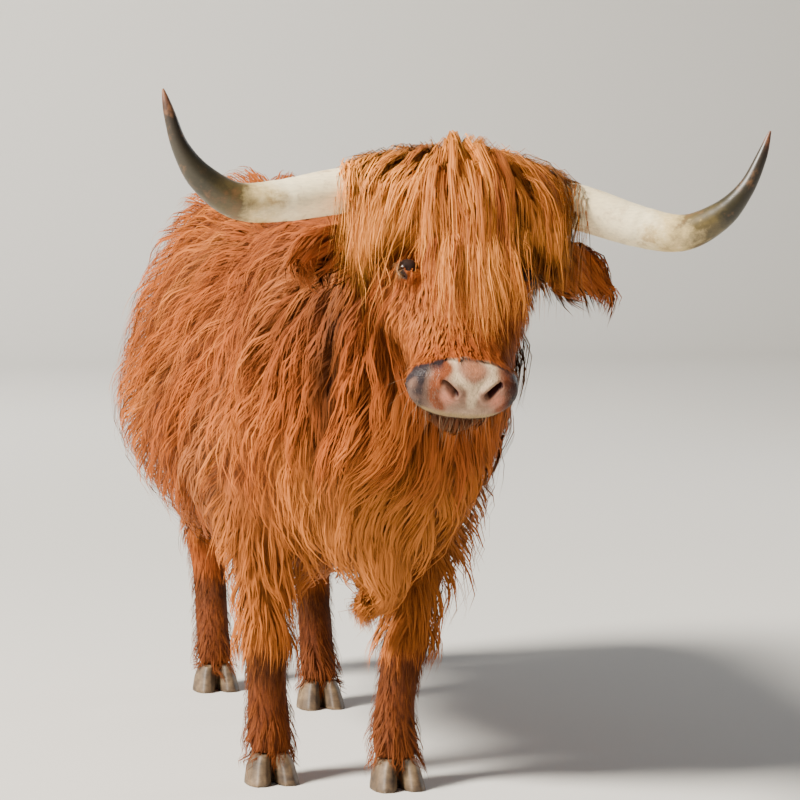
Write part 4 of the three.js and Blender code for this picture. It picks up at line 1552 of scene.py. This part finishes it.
def blade_faces(rings):
    """The faces of one blade: its root, three sides from each ring to the next, and its tip.

    A ring has three points: the blade's two edges and then its ridge. The first result holds the points of
    each face, counted from the root. The second tells which faces lie on the blade's flat back.
    """
    faces = [(0, 2, 1)]
    for r in range(rings - 1):
        for a, b in ((0, 1), (1, 2), (2, 0)):
            low_a, low_b = 3 * r + a, 3 * r + b
            faces += [(low_a, low_b, low_b + 3), (low_a, low_b + 3, low_a + 3)]
    last, tip = 3 * (rings - 1), 3 * rings
    faces += [(last, last + 1, tip), (last + 1, last + 2, tip), (last + 2, last, tip)]
    behind = [True] + [True, True, False, False, False, False] * (rings - 1) + [True, False, False]
    return np.array(faces), np.array(behind)


print(len(blade_faces(5)[0]), "triangles in a blade of five steps")


# %% Build the mesh of blades
def inside_out(points, faces):
    """Whether the faces are wound so that they point inwards: their volume is then below zero."""
    a, b, c = (points[faces[:, i]] - points[faces[:, 0]].mean(0) for i in range(3))
    return np.sum(np.einsum("ij,ij->i", a, np.cross(b, c))) < 0


def mesh_of_triangles(name, points, faces):
    mesh = bpy.data.meshes.new(name)
    mesh.vertices.add(len(points))
    mesh.vertices.foreach_set("co", points.astype(np.float32).ravel())
    mesh.loops.add(faces.size)
    mesh.loops.foreach_set("vertex_index", faces.astype(np.int32).ravel())
    mesh.polygons.add(len(faces))
    mesh.polygons.foreach_set("loop_start", np.arange(0, faces.size, 3, dtype=np.int32))
    mesh.update(calc_edges=True)
    mesh.polygons.foreach_set("use_smooth", np.ones(len(faces), bool))
    return mesh


def blades(name, lines, normals, width, tones, uv, seed, soft):
    """One mesh of closed blades with a flat back and a low ridge. Tones holds a colour for each place.

    Soft is how far each blade's shading turns from its own facets to the body under it.
    """
    rng = np.random.default_rng(seed)
    count, rings = lines.shape[0], lines.shape[1] - 1
    along = unit(np.gradient(lines, axis=1))
    across = unit(np.cross(along, normals[:, None]))
    out = unit(np.cross(across, along))
    roll = rng.normal(0, ROLL, count)[:, None, None]
    across, out = across * np.cos(roll) + out * np.sin(roll), out * np.cos(roll) - across * np.sin(roll)

    def with_tips(ring_values, tip_values):
        """The values at every point of every blade: three for each ring, and one for the tip."""
        return np.concatenate([ring_values.reshape(count, rings * 3, -1), tip_values], axis=1)

    part = np.linspace(0, 1, rings + 1)[None, :rings]
    form = (0.55 + 0.45 * ease(part / 0.3)) * (1 - 0.78 * ease((part - 0.4) / 0.6))
    half = (width[:, None] * form / 2)[..., None]
    edge, ridge = half * across[:, :rings], RIDGE * half * out[:, :rings]
    points = with_tips(lines[:, :rings, None] + np.stack([-edge, edge, ridge], axis=2), lines[:, rings:])
    points = points.reshape(-1, 3)
    faces, behind = blade_faces(rings)
    every = (faces[None] + (np.arange(count) * (3 * rings + 1))[:, None, None]).reshape(-1, 3)
    leaning = np.stack([out - EDGE_LEAN * across, out + EDGE_LEAN * across, out], axis=2)
    fronts = with_tips(leaning[:, :rings], out[:, rings:])
    fronts = unit(unit(fronts) * (1 - soft) + normals[:, None] * soft)
    backs = with_tips(np.repeat(-out[:, :rings], 3, axis=1), -out[:, rings:])
    facing = np.where(behind[None, :, None, None], backs[:, faces], fronts[:, faces])
    if inside_out(points, every):
        every = every[:, ::-1]
        facing = facing[:, :, ::-1]
    mesh = mesh_of_triangles(name, points, every)
    layer = mesh.attributes.new("custom_normal", "FLOAT_VECTOR", "CORNER")
    layer.data.foreach_set("vector", facing.astype(np.float32).ravel())
    # Each blade has its own stretch of the Strand map, as long as the blade is in tenths of a metre. On the
    # OFBake map it is a small patch where its root is.
    place = np.concatenate([np.repeat(np.linspace(0, 1, rings, endpoint=False), 3), [1.0]])
    side = np.concatenate([np.tile([0.0, 1.0, 0.5], rings), [0.5]])
    reach = np.linalg.norm(np.diff(lines, axis=1), axis=2).sum(1)
    strand = np.stack([
        side[None] + rng.integers(0, 900, count)[:, None] * 1.37,
        place[None] * (reach[:, None] / 0.1),
    ], axis=2).reshape(-1, 2)
    patch = (uv[:, None] + (np.stack([side, place], 1)[None] - 0.5) * PATCH).reshape(-1, 2)
    for label, values in (("Strand", strand), ("OFBake", patch)):
        layer = mesh.uv_layers.new(name=label)
        layer.uv.foreach_set("vector", values[every.ravel()].astype(np.float32).ravel())
    every_tone = with_tips(np.repeat(tones[:, :rings], 3, axis=1), tones[:, rings:])
    set_colours(mesh, "tone", every_tone.reshape(-1, 3))
    return mesh


def blades_of(name, chosen, lines, roots, width, tones, seed, soft):
    """One piece of a coat: the blades of the locks that are chosen for it."""
    return blades(
        name, lines[chosen], roots.normal[chosen], width[chosen], tones[chosen], roots.uv[chosen], seed, soft
    )


# %% The finish of the coat
HAIRS_PER_BLADE = (6.0, 0.9, 1)


def coat_finish(name, gloss):
    """Each blade reads as many hairs: fine streaks along it, in colour and in relief."""
    material, tree, shader = new_material(name)
    drawn = put(tree, "ShaderNodeMapping", Scale=HAIRS_PER_BLADE, Vector=own_map(tree, "Strand"))
    streak = noise(tree, drawn.outputs[0], 1.0, 2, 0.6)
    colour = blend(tree, "MULTIPLY", 1.0, attribute(tree, "tone"), spread(tree, streak, 0.3, 0.7, 0.66, 1.34))
    tree.links.new(colour, shader.inputs["Base Color"])
    shader.inputs["Roughness"].default_value = 0.62
    shader.inputs["Specular IOR Level"].default_value = gloss
    shader.inputs["Sheen Weight"].default_value = 0.03
    shader.inputs["Sheen Roughness"].default_value = 0.4
    shader.inputs["Sheen Tint"].default_value = (*linear(255, 180, 110), 1)
    bump(tree, streak, 0.30, 0.0008, shader)
    return material


coat_paint = coat_finish("coat", 0.09)
coat_triangles = []


def wear(name, mesh, paint=coat_paint):
    """Adds a piece of coat to the model."""
    mesh.materials.append(paint)
    ob = placed(name, mesh)
    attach(ob, "root")
    coat_triangles.append(len(mesh.polygons))
    print(name, len(mesh.polygons), "triangles")
    return ob


# %% [markdown]
# ## The coat
# The same recipe grows every region, with the numbers of its row in the table. The locks of a big region
# are shared out between a few pieces, so that none of them is too heavy to edit or save.

# %% How long the hair is at each place
def grown_length(roots):
    """The table's length, changed by place.

    Hair is longer low on the flank, over the knees and on the cheeks, and shorter along the back, down the
    nose, round the eyes and in the cleft.
    """
    _, y, z = (roots.place - np.array(MIDDLE)).T
    h = seen_from(HEAD, roots.place)
    trunk, upper, head = (roots.shares[:, NAMES.index(n)] for n in ("trunk", "upper", "head"))
    length = roots.column("length")
    for change in (
        0.35 * ease((0.75 - z) / 0.25) * trunk,
        -0.25 * ease((z - 1.05) / 0.12) * (y > -0.6),
        -0.40 * head * ease((-0.20 - h[:, 1]) / 0.16),
        0.9 * at_cheek(roots.place) * head,
        0.6 * ease((0.47 - z) / 0.08) * upper,
        -0.75 * hill(from_eye(h), 0.06),
        -0.4 * at_cleft(roots.place),
    ):
        length = length * (1 + change)
    return length


def line_tones(base, steps, root_shade, tip, tip_share):
    """Colours down each lock: darker near the root as painted shade, and lighter towards the tip."""
    part = np.linspace(0, 1, steps + 1)[None, :, None]
    # Painted shade: each lock is darkened near its root, where the coat shades itself.
    shade = root_shade + (1 - root_shade) * ease(part * 2.2)
    return (base[:, None] + (tip - base[:, None]) * tip_share * part**2) * shade


def piece_of(points, pieces, middle):
    """Shares locks out: to the right and left of a middle, and then from front to back."""
    if pieces < 2:
        return np.zeros(len(points), int)
    in_a_row = pieces // 2
    borders = np.quantile(points[:, 1], np.linspace(0, 1, in_a_row + 1)[1:-1])
    return (points[:, 0] > middle) * in_a_row + np.searchsorted(borders, points[:, 1])


# %% Grow one region
BARE_LIMIT = 0.35
BALD = np.maximum(bare, lids) >= BARE_LIMIT
LOWEST_HAIR = 0.004
CHEEK_RISE = 0.042
LONG_TUFTS = 0.03
TUFT_PACKING = 0.72
PIECES = {"trunk": 6, "neck": 2, "head": 2}
# How strongly a lock sinks, leans away from its root, closes in on its guide, and is shaded like the body.
DROOP = {"trunk": 0.30, "neck": 0.42, "brisket": 0.85, "ear": 0.82, "switch": 0.9, "dock": 0.5, "head": 0.08}
LEAVE = {"cannon": 0.3, "pastern": 0.4, "head": 0.14, "upper": 0.5, "lower_jaw": 0.5}
CLOSE = {"head": 0.25, "brisket": 0.65}
SOFT = {"brisket": 0.30, "ear": 0.30, "switch": 0.2}
# How much of its colour a region's lock keeps at the root under the painted shade, where it is not 0.76.
ROOT_SHADE = {"head": 0.92}


def strand_width(rng, count, stray):
    """Shares of the table's width: broad locks, and fine ones that lie among them."""
    fine = stray | (rng.random(count) < 0.55)
    return np.where(fine, rng.uniform(0.30, 0.55, count), rng.uniform(0.75, 1.35, count))


def grow_region(name, seed):
    index = NAMES.index(name)
    count, steps, tuft = int(TABLE["locks"][index]), int(TABLE["steps"][index]), float(TABLE["tuft"][index])
    weight = skin_shares[:, index] * ~BALD
    roots = Roots(weight, count, [seed, 1])
    seeds = Roots(weight, int(count * 0.9) if tuft < LONG_TUFTS else count // 2, [seed, 2])
    tufts = seeds.thin_out(tuft * TUFT_PACKING)
    rng = np.random.default_rng([seed, 3])
    length = grown_length(seeds) * rng.uniform(0.72, 1.2, tufts)
    rise = seeds.column("rise") + CHEEK_RISE * at_cheek(seeds.place) * (name == "head")
    rise = rise * rng.uniform(0.5, 1.0, tufts) * (1 - 0.6 * at_cleft(seeds.place))
    length *= 1 + 0.2 * (rise > 0.03)
    if name == "head":
        rise *= 1 - 0.5 * ease((-0.26 - seen_from(HEAD, seeds.place)[:, 1]) / 0.08)
    # Locks at the brisket's tip are shorter and hang closer, so that it ends in a point.
    tip = ease((0.54 - seeds.place[:, 2]) / 0.08) * (name == "brisket")
    length *= 1 - 0.3 * tip
    rise *= 1 - 0.7 * tip
    leave = LEAVE.get(name, 0.7) * (1 - 0.9 * tip)[:, None]
    guides = walk(seeds, length, rise, steps, DROOP.get(name, 0.15), leave)
    lines, own, stray, centre = gather(
        roots, guides, seeds.place, roots.column("wave"), CLOSE.get(name, 0.5), [seed, 4]
    )
    lines[..., 2] = np.maximum(lines[..., 2], LOWEST_HAIR)
    # Painted shade: locks towards a tuft's edge are painted darker than those at its middle.
    lot = 0.5 * rng.uniform(-1, 1, tufts)[own] + 0.2 * rng.normal(0, 0.5, count) + 0.2 * (centre - 0.5)
    base = coat_tone(roots.place, lot) * (0.82 + 0.24 * centre)[:, None]
    tones = line_tones(base, steps, ROOT_SHADE.get(name, 0.76), AMBER, 0.22)
    width = roots.column("width") * strand_width(rng, count, stray)
    pieces = PIECES.get(name, 1)
    piece = piece_of(roots.place, pieces, MIDDLE.x)
    for i in range(pieces):
        label = f"coat_{name}" if pieces == 1 else f"coat_{name}_{i + 1}"
        soft = SOFT.get(name, 0.55)
        wear(label, blades_of(label, piece == i, lines, roots, width, tones, [seed, 5, i], soft))


# %% Grow it
for number, name in enumerate(NAMES):
    if REGIONS[name][COLUMNS.index("locks")]:
        grow_region(name, 100 + number)

# %% [markdown]
# ## The forelock
# The forelock grows from the poll between the horns and falls over brow and horn roots. It lies under a
# dome, given row by row as an oval across the head, that the locks are drawn to from within. They run
# outwards first and then hang. Locks that would fall across an eye end above it.

# %% The dome of the forelock
DOME = np.array([
    # forwards, middle x, middle z, half width, rise, drop
    (-0.372, -0.006, -0.040, 0.054, 0.014, 0.024),
    (-0.300, -0.008, -0.028, 0.108, 0.026, 0.040),
    (-0.210, -0.012, -0.018, 0.162, 0.034, 0.060),
    (-0.125, -0.016, -0.014, 0.198, 0.044, 0.080),
    (-0.045, -0.020, -0.012, 0.220, 0.052, 0.105),
    (0.020, -0.020, -0.010, 0.212, 0.052, 0.095),
    (0.075, -0.010, -0.036, 0.160, 0.042, 0.060),
])


def dome(points):
    """How far outside the forelock's dome each point is, and the way out of it there."""
    h = seen_from(HEAD, points)
    x, z, wide, rise, drop = (np.interp(h[:, 1], DOME[:, 0], DOME[:, i]) for i in range(1, 6))
    tall = np.where(h[:, 2] > z, rise, drop)
    across, up = (h[:, 0] - x) / wide, (h[:, 2] - z) / tall
    size = np.maximum(np.hypot(across, up), 1e-3)
    slope = np.stack([across / wide, 0 * x, up / tall], axis=1) / size[:, None]
    steep = np.linalg.norm(slope, axis=1)
    return (size - 1) / steep, slope / steep[:, None] @ np.array(HEAD.to_3x3()).T


print("the poll lies", -dome(np.array([POLL]))[0].round(3)[0], "inside the forelock's dome")


# %% The forelock's own lie
PARTING, BROW_MIDDLE = -0.012, -0.016


def forelock_flow(points, part, shift):
    """Outwards from a parting, which shifts a little from tuft to tuft, and then forwards over the brow."""
    h = seen_from(HEAD, points)
    off_parting = h[:, 0] - PARTING + 0.010 * ripple(points, 0.11, 51) - shift
    outwards = 0.90 * np.tanh(off_parting / 0.110) * (1 - ease(part / 0.55)) + 0.35 * ripple(points, 0.16, 52)
    outwards *= 1 - ease((np.abs(h[:, 0] - BROW_MIDDLE) - 0.135) / 0.05)
    way = np.stack([outwards, -1.0 + 0 * outwards, -0.10 + 0 * outwards], axis=1)
    return unit(way @ np.array(HEAD.to_3x3()).T)


# %% Keep the eyes clear
EYE_OPENING, OPENING_RADIUS = 0.96, 0.044


def resampled(places, line, wanted):
    """The places along a line, given at some parts of its length, worked out at the wanted ones."""
    return np.stack([np.interp(wanted, places, line[:, k]) for k in range(3)], axis=1)


def clear_of_eyes(lines, seed):
    """Ends most of the lines that would fall across an eye above it."""
    rng = np.random.default_rng(seed)
    places = np.linspace(0, 1, lines.shape[1])
    fine = np.linspace(0, 1, 41)
    for side in SIDES.values():
        frame_there = HEAD @ eye_frame(side)
        for i, line in enumerate(lines):
            dense = resampled(places, line, fine)
            a, b, c = seen_from(frame_there, dense).T
            near = np.flatnonzero((np.hypot(a, 0.8 * b) < OPENING_RADIUS) & (c > -0.01) & (c < 0.12))
            if len(near) and near[0] > 4 and rng.random() < EYE_OPENING:
                last = fine[near[0] - 1] * rng.uniform(0.80, 1.0)
                lines[i] = resampled(fine, dense, np.linspace(0, last, len(places)))
    return lines


# %% Grow the forelock
FORELOCK_LOCKS, FORELOCK_SEEDS, FORELOCK_STEPS, FORELOCK_PIECES = 8400, 2400, 6, 2
FORELOCK_WIDTH, FORELOCK_WAVE, FORELOCK_TUFT = 0.0025, 0.0030, 0.012


def forelock_weight(h):
    """Where the forelock grows, in the head's frame: thickest at the back and along the parting."""
    off_middle = np.abs(h[:, 0] - BROW_MIDDLE)
    weight = (off_middle < 0.178) & (h[:, 1] > -0.115) & (h[:, 1] < 0.085) & (h[:, 2] > -0.075)
    weight = weight * (1 + 0.5 * ease(h[:, 1] / 0.05)) * (1 + 0.5 * ease((off_middle - 0.06) / 0.08))
    return weight * (1 + (1.0 + 1.2 * ease(h[:, 1] / 0.03)) * hill(np.abs(h[:, 0] - PARTING), 0.08))


def grow_forelock(seed):
    rng = np.random.default_rng([seed, 0])
    weight = forelock_weight(head_points)
    roots = Roots(weight, FORELOCK_LOCKS, [seed, 1])
    seeds = Roots(weight, FORELOCK_SEEDS, [seed, 2])
    tufts = seeds.thin_out(FORELOCK_TUFT)
    shift = 0.014 * ripple(seeds.place, 0.05, 54) + rng.normal(0, 0.010, tufts)
    seeds.lie = flatten(forelock_flow(seeds.place, 0, shift), seeds.normal)
    x, y, _ = seen_from(HEAD, seeds.place).T
    length = 0.27 + 0.15 * ease((y + 0.115) / 0.18) - 0.85 * np.maximum(np.abs(x) - 0.04, 0)
    length *= rng.uniform(0.60, 1.12, tufts)
    layer = rng.random(tufts)
    guides = walk(
        seeds, length, 0.003 + 0.026 * layer, FORELOCK_STEPS, 0.62, 0.85,
        lambda points, part: forelock_flow(points, part, shift), dome
    )
    wave = np.full(FORELOCK_LOCKS, FORELOCK_WAVE)
    lines, own, stray, _ = gather(roots, guides, seeds.place, wave, 0.26, [seed, 4], 0.05)
    lines = clear_of_eyes(lines, [seed, 6])
    lot = 0.45 * rng.uniform(-1, 1, tufts)[own] + 0.25 * rng.normal(0, 0.5, FORELOCK_LOCKS)
    # Painted shade: tufts that lie low under the others are painted darker, and those on top lighter.
    lot += 0.55 * ripple(roots.place, 0.07, 53) + 0.45 * (layer[own] - 0.5)
    low = ease((-0.01 - seen_from(HEAD, roots.place)[:, 1]) / 0.08)
    base = mixed(coat_tone(roots.place, 0.6 * lot), GOLD, 0.74 - 0.22 * low + 0.60 * lot)
    tones = line_tones(base, FORELOCK_STEPS, 0.90, GOLD, 0.15)
    width = FORELOCK_WIDTH * strand_width(rng, FORELOCK_LOCKS, stray)
    paint = coat_finish("forelock", 0.20)
    piece = piece_of(roots.place, FORELOCK_PIECES, POLL.x)
    for i in range(FORELOCK_PIECES):
        label = f"forelock_locks_{i + 1}"
        mesh = blades_of(label, piece == i, lines, roots, width, tones, [seed, 5, i], 0.15)
        ob = wear(label, mesh, paint)
        if i == 0:
            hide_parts("forelock")


grow_forelock(200)

# %% [markdown]
# ## Bristles
# Three kinds of stiff hair are left: pale stubble all over the muzzle, long fine whiskers on lips and
# chin, and the lashes that stand over each eye. They are single hairs, so they don't gather in tufts.


# %% Grow the bristles
def bristle_lines(place, way, length, sag):
    """Hairs that leave their roots along one way each and sag towards their tips."""
    part = np.linspace(0, 1, 4)[None, :, None]
    return place[:, None] + length[:, None, None] * (way[:, None] * part + sag * DOWN * part**2)


BRISTLE_SOFT = 0.55


def grow_bristles(name, weight, count, length, width, tone, seed, lean, sag):
    rng = np.random.default_rng(seed)
    roots = Roots(weight, count, [seed, 1])
    way = unit(roots.normal + lean * roots.lie + rng.normal(0, 0.2, (count, 3)))
    lines = bristle_lines(roots.place, way, length * rng.uniform(0.6, 1.25, count), sag)
    tones = np.tile(tone, (count, 4, 1)) * rng.uniform(0.7, 1.15, (count, 1, 1))
    mesh = blades(name, lines, roots.normal, np.full(count, width), tones, roots.uv, [seed, 2], BRISTLE_SOFT)
    wear(name, mesh)


LASHES, LASH_LENGTH, LASH_WIDTH = 70, 0.022, 0.0008


def grow_lashes(count, seed):
    """Lashes that stand along the upper rim of each slit."""
    rng = np.random.default_rng(seed)
    places, ways = [], []
    for side in SIDES.values():
        a = rng.uniform(-0.85, 0.85, count) * SLIT_HALF_LENGTH
        b = SLIT_RISE * (1 - (a / SLIT_HALF_LENGTH) ** 2) ** 0.75 + 0.0012
        c = np.sqrt((EYE_RADIUS + LID_THICKNESS) ** 2 - a**2 - b**2) - 0.001
        there = HEAD @ eye_frame(side)
        local = np.stack([a, b, c], axis=1)
        lean = np.stack([0.35 * a / SLIT_HALF_LENGTH, 0.10 + 0 * a, 1 + 0 * a], axis=1)
        places.append(put_from(there, local))
        ways.append(put_from(there, local + unit(lean + rng.normal(0, 0.08, (count, 3)))) - places[-1])
    place, way = np.concatenate(places), np.concatenate(ways)
    both = len(place)
    lines = bristle_lines(place, way, LASH_LENGTH * rng.uniform(0.7, 1.1, both), 0.35)
    tones = np.tile(linear(150, 106, 66), (both, 4, 1)) * rng.uniform(0.5, 1.2, (both, 1, 1))
    uv = rng.uniform(0.001, 0.004, (both, 2))
    width = np.full(both, LASH_WIDTH)
    wear("lashes", blades("lashes", lines, way, width, tones, uv, [seed, 2], BRISTLE_SOFT))


dry = bare * (1 - 0.85 * ease((np.abs(head_points[:, 0] - MUZZLE_MIDDLE) - 0.072) / 0.012))
for sign in SIDES.values():
    dry *= from_path(head_points * [sign, 1, 1], NOSTRIL_PATH, [0, 2])[0] > 0.012
grow_bristles("stubble", dry, 1300, 0.0050, 0.0004, linear(150, 130, 112), 301, 0.9, 0.1)
lips = on_head(skin_points) * (head_points[:, 1] < -0.40) * (head_points[:, 2] < -0.085) * 1.0
grow_bristles("whiskers", lips, 70, 0.044, 0.0005, linear(170, 146, 118), 302, 0.5, 0.25)
grow_lashes(LASHES, 303)
print(sum(coat_triangles), "triangles of coat")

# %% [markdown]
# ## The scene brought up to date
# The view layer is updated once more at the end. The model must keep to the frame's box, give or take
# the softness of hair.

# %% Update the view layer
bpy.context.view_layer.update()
